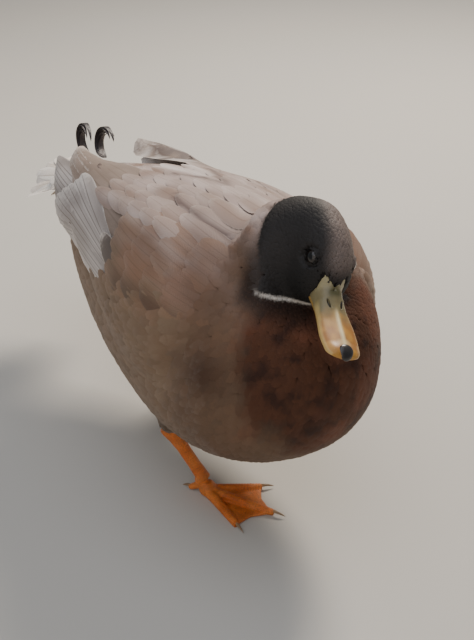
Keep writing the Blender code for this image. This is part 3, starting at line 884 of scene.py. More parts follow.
@dataclass
class Markings:
    """The colours by place: dark head, pale collar, purple-brown breast, taupe back and grey-brown flanks,
    with painted light on the crown and painted shade under the bill, in the flank's hollow and on the belly.
    """

    head: HeadFrame
    lean: Lean
    # Flat bounds of the dark head, each as shares of forward and up on the head and a reach in millimetres.
    nape_bound: tuple = (0.553, 0.833, 15.4)
    cheek_bound: tuple = (0.68, 0.73, 17.8)
    throat_bound: tuple = (-0.35, 0.94, 6.5)
    collar_mm: float = 1.5
    head_dark: str = "090808"
    # painted light: the paler brown of the lit crown
    crown_painted_light: str = "74665F"
    collar_white: str = "C9C1B7"
    breast_brown: str = "50301F"
    breast_dark: str = "331C13"
    breast_red: str = "6E4330"
    flank_grey: str = "7C6550"
    flank_fine: str = "86705A"
    # painted shade: the flank made darker towards the belly, on the shaded underside
    belly_painted_shade: str = "57442F"
    # painted shade: the dark hollow between the flank and the breast, below the wing
    flank_painted_shade: str = "452F22"
    # painted shade: the near-black shadow under the bill and cheek
    throat_painted_shade: str = "160C09"
    back_taupe: str = "9E8C84"
    back_pale: str = "B8A7A0"
    back_brown: str = "8A6B58"
    shoulder_brown: str = "8C6852"
    rump_dark: str = "453C3D"
    rump_grey: str = "85796F"
    front_brown: str = "6E5341"
    front_dark: str = "5F4A3A"
    # From where a marking begins to where it's full. Height on the side runs from -1 below to 1 on top.
    belly_up: tuple = (96, 58)
    back_high: tuple = (0.34, 0.66)
    back_forward: tuple = (-112, -92)
    front_forward: tuple = (96, 124)
    front_up: tuple = (212, 198)
    rump_forward: tuple = (-84, -104)
    breast_mm: tuple = (146, 16)  # where it begins at the top, and how much farther forward it does below
    # where the painted shade under the bill begins and is full
    throat_side: tuple = (-17, -4)
    throat_forward: tuple = (122, 138)
    over_breast_up: tuple = (169.5, 172.5)
    over_breast_forward: tuple = (100, 118)
    ring_broad: tuple = (-27, -17)  # forward on the head, where the collar grows to its full breadth
    ring_up: tuple = (186, 182)
    # where the painted light on the crown begins and is full, up the head and towards its left side
    lit_crown_up: tuple = (13, 25)
    lit_crown_right: tuple = (11, 1)
    # Soft patches, as their middle and reach forward and their middle and reach in height on the side. The
    # hollow patch is painted shade between the flank and the breast.
    shoulder_patch: tuple = (82, 46, 0.56, 0.30)
    hollow_shade_patch: tuple = (132, 17, 0.0, 0.24)

    def collar_side(self, points: Rows) -> Rows:
        """Gives how far points lie on the head's side of the collar, in millimetres.

        Args:
            points: Rows of x, y, z.

        Returns:
            One number for each row, below 0 on the body.
        """
        places = self.head.inward(points)
        nape, cheek, throat = (
            places[..., 0] * forward + places[..., 1] * up + reach
            for forward, up, reach in (self.nape_bound, self.cheek_bound, self.throat_bound)
        )
        return np.minimum(np.maximum(nape, cheek), throat)

    def paint(self, points: Rows) -> Rows:
        """Gives each point's colour.

        Args:
            points: Rows of x, y, z.

        Returns:
            Rows of linear red, green and blue, and how strongly a feather there is fringed.
        """
        forward, angle, _ = self.lean.polar(points)
        up, high = points[..., 2] / MM, np.sin(np.radians(angle))
        soft = NOISE(points / MM, 17.0)
        fine = NOISE(points / MM + 50, 5.0)
        streak = NOISE(points / MM * (1, 0.22, 1) + 90, 5.5)
        waver = soft - 0.5  # moves each marking's edge to and fro

        back = smooth(*self.back_high, high + 0.16 * waver) * smooth(*self.back_forward, forward)
        back_colour = layered(
            self.back_taupe,
            (self.back_pale, smooth(0.52, 0.78, streak)),
            (self.back_brown, 0.75 * smooth(0.50, 0.22, streak)),
        )
        mottled = smooth(0.30, 0.52, soft * 0.6 + streak * 0.4)
        shoulder = self._patch(self.shoulder_patch, forward, high) * mottled
        front = smooth(*self.front_forward, forward + 8 * waver) * smooth(*self.front_up, up)
        first, fall = self.breast_mm
        edge = first + fall * smooth(0.45, -0.8, high) + 10 * waver + 5 * (fine - 0.5)
        breast = smooth(-5, 7, forward - edge)
        breast_colour = layered(
            self.breast_brown,
            (self.breast_dark, smooth(0.50, 0.80, fine)),
            (self.breast_red, 0.7 * smooth(0.55, 0.25, soft)),
        )
        colour = layered(
            self.flank_grey,
            (self.flank_fine, 0.55 * smooth(0.45, 0.75, fine)),
            # darker towards the belly: painted shade on the underside
            (self.belly_painted_shade, smooth(*self.belly_up, up + 14 * waver)),
            (back_colour, back),
            (self.shoulder_brown, np.clip(1.25 * shoulder, 0, 0.9)),
            (layered(self.front_brown, (self.front_dark, soft)), 0.8 * front),
            # painted shade in the hollow between flank and breast
            (self.flank_painted_shade, 0.85 * self._patch(self.hollow_shade_patch, forward, high)),
            (
                layered(self.rump_dark, (self.rump_grey, smooth(0.45, 0.75, fine))),
                smooth(*self.rump_forward, forward + 8 * waver),
            ),
            (breast_colour, breast),
        )

        places = self.head.inward(points)
        side = self.collar_side(points) + 0.4 * (fine - 0.5)
        # Painted shade under the bill and cheek, on the throat and the breast just below the collar.
        throat = smooth(*self.throat_side, side) * smooth(*self.throat_forward, forward)
        throat = throat * smooth(-10, 2, places[..., 2])
        over_breast = smooth(*self.over_breast_up, up) * smooth(*self.over_breast_forward, forward)
        broad = self.collar_mm * (0.1 + 0.9 * smooth(*self.ring_broad, places[..., 0]))
        ring = smooth(-0.4, 0.3, side + broad) * smooth(-4, 2, places[..., 2]) * smooth(*self.ring_up, up)
        on_head = smooth(-0.3, 0.4, side) * over_breast
        # Painted light on the crown and the head's left side, with a little random brown over the rest of the
        # head.
        lit_crown = smooth(*self.lit_crown_up, places[..., 1]) * smooth(*self.lit_crown_right, places[..., 2]) * 0.85
        brown = np.clip(lit_crown * (0.7 + 0.6 * soft) + 0.1 * soft, 0, 1)
        colour = layered(
            colour,
            (self.throat_painted_shade, 0.85 * throat),
            (self.collar_white, ring * over_breast),
            (layered(self.head_dark, (self.crown_painted_light, brown)), on_head),
        )
        fringe = (0.04 + 0.25 * back) * (1 - 0.45 * breast) * (1 - np.maximum(on_head, ring) * 0.9)
        return np.concatenate([colour, fringe[..., None]], -1)

    @staticmethod
    def _patch(patch: tuple, forward: Rows, high: Rows) -> Rows:
        """Gives the strength of a soft patch, which is 1 in its middle."""
        middle, reach, level, rise = patch
        return np.exp(-(((forward - middle) / reach) ** 2) - (((high - level) / rise) ** 2))


@dataclass
class CoatMeasures:
    """How long, deep and close the small feathers are, by place. Lengths are in millimetres."""

    markings: Markings
    head_length: float = 4.6
    face_length: float = 2.4
    collar_length: float = 5.0
    breast_length: float = 15.0
    body_length: float = 22.0
    belly_length: float = 17.0
    thigh_length: float = 11.0
    rump_length: float = 19.0
    # What feathers of these lengths measure, in millimetres.
    by_length: tuple = (2.4, 4.2, 6.0, 15.0, 22.0)
    depths: tuple = (0.55, 0.85, 1.5, 2.9, 3.6)
    spacings: tuple = (1.0, 1.3, 1.8, 3.4, 4.4)
    half_widths: tuple = (0.85, 1.35, 1.8, 3.9, 5.1)

    def length(self, points: Rows) -> Rows:
        """Gives the feathers' length at points.

        Args:
            points: Rows of x, y, z.

        Returns:
            One length in millimetres for each row.
        """
        forward = -points[..., 1] / MM
        up = points[..., 2] / MM
        side = self.markings.collar_side(points)
        places = self.markings.head.inward(points)
        face = smooth(-22, -5, places[..., 0])
        head = self.head_length + (self.face_length - self.head_length) * face
        below = np.clip(-side, 0, 200)
        neck = self.collar_length + (self.breast_length - self.collar_length) * smooth(0, 42, below)
        body = neck + (self.body_length - neck) * smooth(150, 105, forward)
        body = body + (self.belly_length - body) * smooth(80, 55, up)
        body = body + (self.thigh_length - body) * smooth(66, 56, up) * smooth(112, 96, forward)
        body = body + (self.rump_length - body) * smooth(-70, -110, forward)
        on_head = smooth(-1.0, 2.5, side) * smooth(100, 118, forward) * smooth(168, 172, up)
        return body + (head - body) * on_head

    def depth(self, points: Rows) -> Rows:
        """Gives how far the skin lies inside the feathers' outer surface."""
        return np.interp(self.length(points), self.by_length, self.depths)

    def spacing(self, points: Rows) -> Rows:
        """Gives how far apart the feathers' roots are."""
        return np.interp(self.length(points), self.by_length, self.spacings)

    def width(self, points: Rows) -> Rows:
        """Gives half the feathers' width."""
        return np.interp(self.length(points), self.by_length, self.half_widths)


# --------------------------------------------------------------------
# Skin
# --------------------------------------------------------------------


@dataclass
class Skin:
    """One skin over all the flesh, with eye sockets and lids, lying inside the solids by the coat's depth."""

    measures: CoatMeasures
    eyes: Eyes
    voxel: float = 0.0021
    swell: float = 0.00035  # the solids grow by this first, so that their thin cuts close
    lid_mm: float = 0.25
    nodes: tuple = ("trunk", "neck", "head", "tail", "eye_{}", "thigh_{}", "wing_{}")
    dark: float = 0.5  # painted shade: skin and down are painted this much darker than the feathers over them, for the coat's shade
    mesh: Mesh = field(init=False)

    def build(self) -> Object:
        """Makes the skin and keeps its mesh for the coat.

        Returns:
            The skin.
        """
        even = evened(joined_nodes(self.nodes, self.swell), self.voxel)
        bm = bmesh.new()
        bm.from_mesh(even)
        self._keep_largest(bm)
        relax(bm, bm.verts, 5)
        bm.to_mesh(even)
        spots = points_of(even)
        depth = self.measures.depth(spots) * MM
        spots -= points_of(even, "normal") * depth[:, None]
        even.vertices.foreach_set("co", spots.reshape(-1).astype(np.float32))
        bm.clear()
        bm.from_mesh(even)
        self._open_eyes(bm)
        bmesh.ops.recalc_face_normals(bm, faces=bm.faces)
        self.mesh = bpy.data.meshes.new("skin")
        bm.to_mesh(self.mesh)
        bm.free()
        self.mesh.shade_smooth()
        colours = self.measures.markings.paint(points_of(self.mesh))
        # Painted shade under the coat.
        colours[:, :3] *= self.dark
        colours[:, 3] = 1.0
        write_attributes(self.mesh, tint=colours)
        covered = ("trunk", "neck", "head", "tail", "thigh_right", "thigh_left")
        piece = place_piece(self.mesh, BareSkin().build(), covered)
        self._unwrap(piece)
        return piece

    @staticmethod
    def _keep_largest(bm: BMesh) -> None:
        """Deletes every closed island but the largest.

        Args:
            bm: The bodies.
        """
        unseen = set(bm.verts)
        islands = []
        while unseen:
            stack = [unseen.pop()]
            island = []
            while stack:
                vert = stack.pop()
                island.append(vert)
                for edge in vert.link_edges:
                    other = edge.other_vert(vert)
                    if other in unseen:
                        unseen.remove(other)
                        stack.append(other)
            islands.append(island)
        islands.sort(key=len)
        for island in islands[:-1]:
            bmesh.ops.delete(bm, geom=island, context="VERTS")

    def _open_eyes(self, bm: BMesh) -> None:
        """Sinks a socket behind each eyeball and raises the lids round it.

        Args:
            bm: The skin.
        """
        head = self.eyes.head
        for side in (1, -1):
            middle = head.outward(self.eyes.axes(side)[0])
            close = {v for v in bm.verts if (v.co - Vector(middle)).length < 0.0085}
            edges = [e for e in bm.edges if e.verts[0] in close and e.verts[1] in close]
            bmesh.ops.subdivide_edges(bm, edges=edges, cuts=3, use_grid_fill=True)
            close = [v for v in bm.verts if (v.co - Vector(middle)).length < 0.0105]
            relax(bm, close, 6)
            places = head.inward(np.array([v.co for v in close]))
            moved = head.outward(self._lidded(places, side))
            for vert, spot in zip(close, moved):
                vert.co = spot

    def _lidded(self, places: Rows, side: int) -> Rows:
        """Moves points round an eye onto its socket and lids.

        Args:
            places: Forward, up and right in the head's frame.
            side: 1 for the right eye and -1 for the left.

        Returns:
            The moved points, in the same form.
        """
        eyes = self.eyes
        middle, out, lids, across = eyes.axes(side)
        from_eye = places - middle
        height, u, v = from_eye @ out, from_eye @ lids, from_eye @ across
        reach = np.hypot(u / eyes.opening_mm[0], v / eyes.opening_mm[1])
        flat = u * u + v * v
        inner = np.sqrt(np.maximum((eyes.radius_mm - 1.0) ** 2 - flat, 0.05))
        lid = np.sqrt(np.maximum((eyes.radius_mm + self.lid_mm) ** 2 - flat, 0.05))
        outer = lid + (height - lid) * smooth(1.05, 1.9, reach)
        outer = outer + 0.25 * np.exp(-(((reach - 1.10) / 0.10) ** 2))
        target = inner + (outer - inner) * smooth(0.86, 1.0, reach)
        target = np.where(height > 0, target, height)
        return places + out * (target - height)[:, None]

    @staticmethod
    def _unwrap(piece: Object) -> None:
        """Unwraps the skin's own shape into the bake map.

        Args:
            piece: The skin.
        """
        piece.data.uv_layers.new(name="OFBake")
        bpy.context.view_layer.objects.active = piece
        piece.select_set(True)
        bpy.ops.object.mode_set(mode="EDIT")
        bpy.ops.mesh.select_all(action="SELECT")
        bpy.ops.uv.smart_project(angle_limit=math.radians(66), island_margin=0.002)
        bpy.ops.object.mode_set(mode="OBJECT")
        piece.select_set(False)


class Lie:
    """Which way the feathers point: away from the bill, and along the body behind the breast."""

    def __init__(self, mesh: Mesh, head: HeadFrame) -> None:
        """Works the directions out at each point of the skin.

        Args:
            mesh: The skin.
            head: The head's frame, whose bill the feathers start from.
        """
        self.spots = points_of(mesh)
        self.normals = points_of(mesh, "normal")
        pairs = self._pairs(mesh)
        away = self._distance(pairs, head)
        steps = self.spots[pairs[:, 1]] - self.spots[pairs[:, 0]]
        slope = steps * ((away[pairs[:, 1]] - away[pairs[:, 0]]) / (steps**2).sum(1))[:, None]
        ways = np.zeros_like(self.spots)
        for k in (0, 1):
            np.add.at(ways, pairs[:, k], slope)
        forward, up = -self.spots[:, 1] / MM, self.spots[:, 2] / MM
        rear = smooth(132, 84, forward) * np.maximum(smooth(66, 84, up), smooth(40, 20, forward))
        ways = mix(unit(ways), np.array([0.0, 1.0, -0.06]), rear * 0.9)
        for _ in range(24):
            total = ways.copy()
            np.add.at(total, pairs[:, 0], ways[pairs[:, 1]])
            np.add.at(total, pairs[:, 1], ways[pairs[:, 0]])
            total -= self.normals * (total * self.normals).sum(1)[:, None]
            ways = unit(total)
        self.ways = ways
        self.away = away / MM

    @staticmethod
    def _pairs(mesh: Mesh) -> Rows:
        """Lists the skin's edges and the diagonals of its four-sided faces.

        Args:
            mesh: The skin.

        Returns:
            Pairs of point numbers.
        """
        edges = np.empty(len(mesh.edges) * 2, np.int32)
        mesh.edges.foreach_get("vertices", edges)
        pairs = [edges.reshape(-1, 2)]
        sizes = np.empty(len(mesh.polygons), np.int32)
        starts = np.empty(len(mesh.polygons), np.int32)
        corners = np.empty(len(mesh.loops), np.int32)
        mesh.polygons.foreach_get("loop_total", sizes)
        mesh.polygons.foreach_get("loop_start", starts)
        mesh.loops.foreach_get("vertex_index", corners)
        four = starts[sizes == 4]
        pairs += [np.stack([corners[four + a], corners[four + a + 2]], 1) for a in (0, 1)]
        return np.concatenate(pairs)

    def _distance(self, pairs: Rows, head: HeadFrame) -> Rows:
        """Gives each point's way over the skin from the bill, in metres.

        Args:
            pairs: Pairs of neighbouring points.
            head: The head's frame.

        Returns:
            One distance for each point.
        """
        lengths = np.linalg.norm(self.spots[pairs[:, 0]] - self.spots[pairs[:, 1]], axis=1)
        near = [[] for _ in self.spots]
        for (a, b), length in zip(pairs.tolist(), lengths.tolist()):
            near[a].append((b, length))
            near[b].append((a, length))
        places = head.inward(self.spots)
        start = np.flatnonzero((places[:, 0] > -1.5) & (np.abs(places[:, 2]) < 12) & (places[:, 1] > -8))
        away = np.full(len(self.spots), np.inf)
        away[start] = 0.0
        queue = [(0.0, int(k)) for k in start]
        heapq.heapify(queue)
        while queue:
            so_far, k = heapq.heappop(queue)
            if so_far > away[k]:
                continue
            for other, length in near[k]:
                if so_far + length < away[other]:
                    away[other] = so_far + length
                    heapq.heappush(queue, (so_far + length, other))
        return away


# --------------------------------------------------------------------
# The small feathers
# --------------------------------------------------------------------


class Tract(Enum):
    """The coat's pieces, each a part of the body."""

    HEAD = "coat_head"
    NECK = "coat_neck"
    BREAST = "coat_breast"
    BACK = "coat_back"
    FLANK_RIGHT = "coat_flank_right"
    FLANK_LEFT = "coat_flank_left"
    BELLY = "coat_belly"
    RUMP = "coat_rump"


@dataclass
class Roots:
    """Where small feathers grow: their places, the skin's normals, their way and their bake places."""

    spots: Rows
    normals: Rows
    ways: Rows
    bake: Rows

    def chosen(self, keep: Rows) -> "Roots":
        """Gives the roots that a mask keeps."""
        return Roots(self.spots[keep], self.normals[keep], self.ways[keep], self.bake[keep])


@dataclass
class WingCover:
    """The stretch of each side that the long feathers cover, where the small ones lie flat under them."""

    forward_mm: tuple = (-92, -58, -20, 14, 53, 84, 108, 122)
    low_angle: tuple = (0, -5, -3, 4, 14, 19, 26, 40)
    high_angle: float = 96.0
    front_mm: float = 112.0
    # Small feathers are left out where the long ones hide them, from these places forward.
    rear_mm: float = -98.0
    rear_side_mm: float = -122.0  # on the side, where the wing reaches farther back
    rear_top_mm: float = -15.0  # on the back, where the wings part
    side_across: float = 0.84  # how far out the side begins and the back ends, as shares of the half width
    top_across: float = 0.47

    def under(self, forward: Rows, angle: Rows) -> Rows:
        """Gives how far places lie under the long feathers, from 0 to 1.

        Args:
            forward: Places along the body.
            angle: Angles round it in degrees.

        Returns:
            One share for each place.
        """
        mirrored = np.where(angle > 90, 180 - angle, angle)
        low = np.interp(forward, self.forward_mm, self.low_angle)
        inside = smooth(0, 5, mirrored - low) * smooth(self.high_angle + 3, self.high_angle - 4, mirrored)
        return inside * smooth(self.front_mm + 3, self.front_mm - 7, forward)

    def hides(self, forward: Rows, angle: Rows) -> Rows:
        """Tells where the long feathers hide small ones wholly.

        Args:
            forward: Places along the body.
            angle: Angles round it in degrees.

        Returns:
            One answer for each place.
        """
        across = np.abs(np.cos(np.radians(angle)))
        rear = np.where(across > self.side_across, self.rear_side_mm, self.rear_mm)
        hidden = (self.under(forward, angle) > 0.97) & (forward > rear)
        return hidden & ((across > self.top_across) | (forward > self.rear_top_mm))


@dataclass
class Coat:
    """All the small feathers: thin, round-tipped vanes whose tips reach the coat's outer surface."""

    skin: Skin
    lie: Lie
    edge: BillEdge
    cover: WingCover = field(default_factory=WingCover)
    rng: np.random.Generator = field(default_factory=lambda: np.random.default_rng(SEED))
    ring_at: tuple = (0.0, 0.24, 0.52, 0.77, 0.93, 1.0)
    ring_width: tuple = (0.0, 0.66, 1.0, 0.84, 0.46, 0.0)
    thick_mm: float = 0.15
    chin_mm: float = -7.5  # below this height on the head, feathers grow under the bill
    crowding: float = 0.84  # how close roots may come, as a share of their spacing
    shape: Lens = field(default_factory=lambda: Lens(4, 5))

    def build(self, finishes: dict) -> None:
        """Grows the feathers and joins them by tract.

        Args:
            finishes: Materials by tract.
        """
        roots = self._sown()
        log.info("%d small feathers", len(roots.spots))
        tracts = self._tracts(roots)
        for tract in Tract:
            group = roots.chosen(tracts == tract.value)
            if len(group.spots):
                finish, slot = finishes[tract]
                place_piece(self._grown(tract.value, group), finish)

    def _candidates(self) -> tuple:
        """Scatters many possible roots over the skin, closer together where the feathers are smaller.

        Returns:
            The roots and how far apart they should be, in millimetres.
        """
        mesh = self.skin.mesh
        measures = self.skin.measures
        mesh.calc_loop_triangles()
        count = len(mesh.loop_triangles)
        verts = np.empty(count * 3, np.int32)
        loops = np.empty(count * 3, np.int32)
        mesh.loop_triangles.foreach_get("vertices", verts)
        mesh.loop_triangles.foreach_get("loops", loops)
        verts, loops = verts.reshape(-1, 3), loops.reshape(-1, 3)
        uv = np.empty(len(mesh.loops) * 2, np.float32)
        mesh.uv_layers["OFBake"].data.foreach_get("uv", uv)
        uv = uv.reshape(-1, 2).astype(float)
        corner = self.lie.spots[verts]
        area = np.linalg.norm(np.cross(corner[:, 1] - corner[:, 0], corner[:, 2] - corner[:, 0]), axis=1) / 2
        spacing = measures.spacing(corner.mean(1)) * MM
        share = area / spacing**2
        chosen = self.rng.choice(count, size=int(share.sum() * 9), p=share / share.sum())
        a, b = self.rng.random((2, len(chosen)))
        root = np.sqrt(a)
        weight = np.stack([1 - root, root * (1 - b), root * b], 1)[..., None]
        spots = (corner[chosen] * weight).sum(1)
        normals = unit((self.lie.normals[verts[chosen]] * weight).sum(1))
        ways = (self.lie.ways[verts[chosen]] * weight).sum(1)
        ways = unit(ways - normals * (ways * normals).sum(1)[:, None])
        bake = (uv[loops[chosen]] * weight).sum(1)
        return Roots(spots, normals, ways, bake), measures.spacing(spots)

    def _sown(self) -> Roots:
        """Picks roots that keep their distance from each other and clear of eyes, bill and long feathers.

        Returns:
            The picked roots.
        """
        roots, spacing = self._candidates()
        free = self._free(roots.spots)
        roots, spacing = roots.chosen(free), spacing[free]
        keep = np.zeros(len(roots.spots), bool)
        bounds = (0.0, 1.5, 2.3, 3.4, 9.9)
        for low, high in zip(bounds, bounds[1:]):
            members = np.flatnonzero((spacing >= low) & (spacing < high))
            if not len(members):
                continue
            cell = float(spacing[members].max()) * self.crowding * MM
            cells = np.floor(roots.spots[members] / cell).astype(int).tolist()
            taken: dict = {}
            places = roots.spots[members].tolist()
            gaps = (spacing[members] * self.crowding * MM).tolist()
            for k, (x, y, z), own, gap in zip(members, places, cells, gaps):
                near = (place for around in self._around(*own) for place in taken.get(around, ()))
                if all((px - x) ** 2 + (py - y) ** 2 + (pz - z) ** 2 >= gap * gap for px, py, pz in near):
                    taken.setdefault(tuple(own), []).append((x, y, z))
                    keep[k] = True
        return roots.chosen(keep)

    @staticmethod
    def _around(i: int, j: int, k: int) -> list:
        """Lists a cell and its 26 neighbours."""
        return [(i + a, j + b, k + c) for a in (0, -1, 1) for b in (0, -1, 1) for c in (0, -1, 1)]

    def _free(self, spots: Rows) -> Rows:
        """Tells where a small feather may grow.

        Args:
            spots: Rows of x, y, z.

        Returns:
            One answer for each row.
        """
        head = self.skin.eyes.head
        places = head.inward(spots)
        near_head = (self.skin.measures.markings.collar_side(spots) > -6) & (spots[:, 2] > 0.1715)
        clear_of_eyes = ~near_head | (self.skin.eyes.reach(places) > 1.20)
        behind_bill = ~near_head | (self.edge.bare(places) < -0.25) | (places[:, 1] < self.chin_mm)
        below_hock = spots[:, 2] < 0.0500
        forward, angle, _ = self.skin.measures.markings.lean.polar(spots)
        return clear_of_eyes & behind_bill & ~below_hock & ~self.cover.hides(forward, angle)

    def _tracts(self, roots: Roots) -> Rows:
        """Names each root's tract.

        Args:
            roots: The roots.

        Returns:
            One tract's name for each.
        """
        lean = self.skin.measures.markings.lean
        forward, angle, _ = lean.polar(roots.spots)
        side = self.skin.measures.markings.collar_side(roots.spots)
        high = np.sin(np.radians(angle))
        right = np.cos(np.radians(angle)) > 0
        names = np.where(right, Tract.FLANK_RIGHT.value, Tract.FLANK_LEFT.value).astype(object)
        names[high > 0.52] = Tract.BACK.value
        names[high < -0.72] = Tract.BELLY.value
        names[forward < -88] = Tract.RUMP.value
        names[forward > 138] = Tract.BREAST.value
        names[(side > -34) & (forward > 100) & (roots.spots[:, 2] > 0.15)] = Tract.NECK.value
        names[(side > -0.8) & (forward > 100) & (roots.spots[:, 2] > 0.1705)] = Tract.HEAD.value
        return names

    def _grown(self, name: str, roots: Roots) -> Mesh:
        """Grows one tract's feathers.

        Args:
            name: The tract's name.
            roots: Where they grow.

        Returns:
            One mesh of them all.
        """
        measures, rng, lens = self.skin.measures, self.rng, self.shape
        count = len(roots.spots)
        length = measures.length(roots.spots) * rng.uniform(0.86, 1.12, count)
        width = measures.width(roots.spots) * rng.uniform(0.88, 1.1, count)
        depth = measures.depth(roots.spots) * rng.uniform(0.93, 1.0, count)
        beyond = roots.spots + roots.ways * (length * 0.6 * MM)[:, None]
        forward, angle, _ = measures.markings.lean.polar(beyond)
        depth = depth * (1 - 0.8 * self.cover.under(forward, angle))
        turn = np.radians(rng.normal(0, 8.0, count) + 26 * (NOISE(roots.spots / MM + 7, 14.0) - 0.5))
        side = np.cross(roots.normals, roots.ways)
        ways = roots.ways * np.cos(turn)[:, None] + side * np.sin(turn)[:, None]
        levels, widths = np.array(self.ring_at), np.array(self.ring_width)
        middle = roots.spots[:, None] + ways[:, None] * (levels[:, None] * length[:, None, None] * MM)
        reach = np.cross(roots.normals, ways)[:, None] * (widths[:, None] * width[:, None, None] * MM)
        spots, normals = self._footprint(middle, reach)
        column = np.rint(lens.across).astype(int) + 1
        rise = depth[:, None] * (0.02 + 0.88 * smooth(-0.05, 0.6, levels[None]) + 0.1 * levels[None])
        droop = 0.16 * width[:, None] * widths[None]
        height = rise[:, lens.level] - droop[:, lens.level] * np.abs(lens.across)
        height = height + self.thick_mm / 2 * lens.rise
        grown = spots[:, lens.level, column] + unit(normals[:, lens.level, column]) * (height * MM)[..., None]
        mesh = mesh_from_copies(name, lens, grown)
        self._dress(mesh, grown, roots, length, width)
        return mesh

    def _footprint(self, middle: Rows, reach: Rows) -> tuple:
        """Finds the skin under the middle and the edges of each feather.

        Args:
            middle: Points down the middle, as feather, ring, xyz.
            reach: The way from there to one edge, in the same form.

        Returns:
            The skin's points and its normals, as feather, ring, edge or middle, xyz.
        """
        found = np.empty((2, *middle.shape[:2], 3, 3))
        nearest = BVHTree.FromPolygons(*self._skin_faces()).find_nearest
        for k, share in enumerate(self.ring_width):
            for column, sign in enumerate((-1, 0, 1)):
                if share or not sign:
                    hits = [nearest(p)[:2] for p in middle[:, k] + reach[:, k] * sign]
                    found[:, :, k, column] = [[h[0] for h in hits], [h[1] for h in hits]]
            if not share:
                found[:, :, k, ::2] = found[:, :, k, 1:2]
        return found[0], found[1]

    def _skin_faces(self) -> tuple:
        """Gives the skin's points and faces for a search tree."""
        mesh = self.skin.mesh
        return [v.co for v in mesh.vertices], [p.vertices for p in mesh.polygons]

    def _dress(self, mesh: Mesh, grown: Rows, roots: Roots, length: Rows, width: Rows) -> None:
        """Writes tint, vane places and the bake map onto a tract.

        Args:
            mesh: The tract's mesh.
            grown: Its points, as feather, point, xyz.
            roots: Where its feathers grow.
            length: Each feather's length in millimetres.
            width: Half each feather's width in millimetres.
        """
        lens, rng, markings = self.shape, self.rng, self.skin.measures.markings
        count = len(grown)
        local = markings.paint(grown)
        whole = markings.paint(grown[:, lens.level == 4][:, 0])
        fine = smooth(-30, -6, markings.collar_side(roots.spots)) * smooth(60, 110, -roots.spots[:, 1] / MM)
        share = (0.62 + 0.38 * fine)[:, None]
        colours = whole[:, None] + (local - whole[:, None]) * share[..., None]
        shade = rng.normal(1.0, 0.05, (count, 1, 1)) * (1 - 0.06 * (1 - np.array(lens.along))[None, :, None])
        warm = rng.normal(0.0, 0.012, count)
        colours[..., :3] *= np.clip(shade, 0.7, 1.35)
        colours[..., 0] *= (1 + warm)[:, None]
        colours[..., 2] *= (1 - warm)[:, None]
        along = np.array(self.ring_at)[lens.level]
        outer = np.array(self.ring_width)[lens.level] * lens.across
        luck = rng.random(count)
        vane = np.stack(np.broadcast_arrays(lens.across[None], along[None], luck[:, None]), -1)
        barb = (outer[None] * width[:, None], along[None] * length[:, None], 0.0)
        write_attributes(mesh, tint=colours, vane=vane, barb=np.stack(np.broadcast_arrays(*barb), -1))
        patch = np.stack([lens.across * 0.5, lens.along - 0.5], -1) * PATCH
        write_bake_map(mesh, np.clip(roots.bake[:, None] + patch[None], 0, 1).reshape(-1, 2))


# --------------------------------------------------------------------
# The long feathers
# --------------------------------------------------------------------


@dataclass(frozen=True)
class VaneRow:
    """A row of like vanes on the mantle, evenly spread from first to last. Lengths are in millimetres.

    A place is forward and an angle in degrees, where 0 is the side and 90 the middle of the back.
    """

    count: int
    first_root: tuple
    last_root: tuple
    first_tip: tuple
    last_tip: tuple
    half_width: float
    root_height: tuple  # over the mantle, of the first and the last
    tip_height: tuple
    colours: tuple  # hex colours: the usual one, a paler and a darker one
    inner: str = ""  # colour towards the body's middle, where it differs
    bow: float = 0.0  # how far the vane's middle bends down, in degrees
    point: float = 2.2  # 2 ends in a half circle, more is blunter, less is more pointed
    fringe: float = 0.7
    camber: float = 0.5
    thick: float = 0.5


class VaneShape:
    """The outline, thickness and shaft that long vanes share."""

    lens = Lens(12, 18)

    @staticmethod
    def width(along: Rows, point: float) -> Rows:
        """Gives a vane's width, from root to tip.

        Args:
            along: Places from 0 at the root to 1 at the tip.
            point: How blunt the tip is, where 2 is a half circle.

        Returns:
            Shares of the vane's widest.
        """
        root = smooth(-0.12, 0.30, along) * 0.75 + 0.25 * smooth(0.2, 0.6, along)
        tip = np.maximum(0.0, 1 - (np.clip(along - 0.62, 0, 1) / 0.38) ** point) ** (1 / 2)
        return root * tip

    @staticmethod
    def place_rings(along: Rows) -> Rows:
        """Moves rings towards the tip, where the outline turns fastest."""
        return 1 - (1 - along) ** 1.35

    @staticmethod
    def half_thickness(along: Rows, thick: float) -> Rows:
        """Gives half a vane's thickness, which falls to a quarter at the tip."""
        return thick * (0.25 + 0.75 * (1 - along)) * 0.5

    @classmethod
    def shaft(cls, along: Rows, height: float) -> Rows:
        """Gives the height of the shaft's ridge on the outer face, which runs out at the tip."""
        return np.exp(-((cls.lens.across / 0.16) ** 2)) * (cls.lens.rise > 0) * height * (1 - along)


@dataclass(frozen=True)
class LaidVane:
    """One long feather in its place, with each point's place on the vane in millimetres."""

    spots: Rows
    colour: Rows
    fringe: float
    along: Rows  # from 0 at the root to 1 at the tip
    aside: Rows
    length: float
    luck: float  # a number from 0 to 1 of the vane's own


def mesh_from_vanes(name: str, lens: Lens, vanes: list) -> Mesh:
    """Joins long feathers into one mesh.

    Args:
        name: The mesh's name.
        lens: The shape that they all have.
        vanes: The laid feathers.

    Returns:
        The mesh with its tint, vane places and bake map.
    """
    mesh = mesh_from_copies(name, lens, np.stack([v.spots for v in vanes]))
    ones = np.ones(len(lens.along))
    write_attributes(
        mesh,
        tint=np.stack([with_fringe(v.colour, v.fringe) for v in vanes]),
        vane=np.stack([np.stack([lens.across, v.along, ones * v.luck], 1) for v in vanes]),
        barb=np.stack([np.stack([v.aside, v.along * v.length, ones * 0], 1) for v in vanes]),
    )
    write_bake_map(mesh, strip_map(lens, len(vanes)))
    return mesh


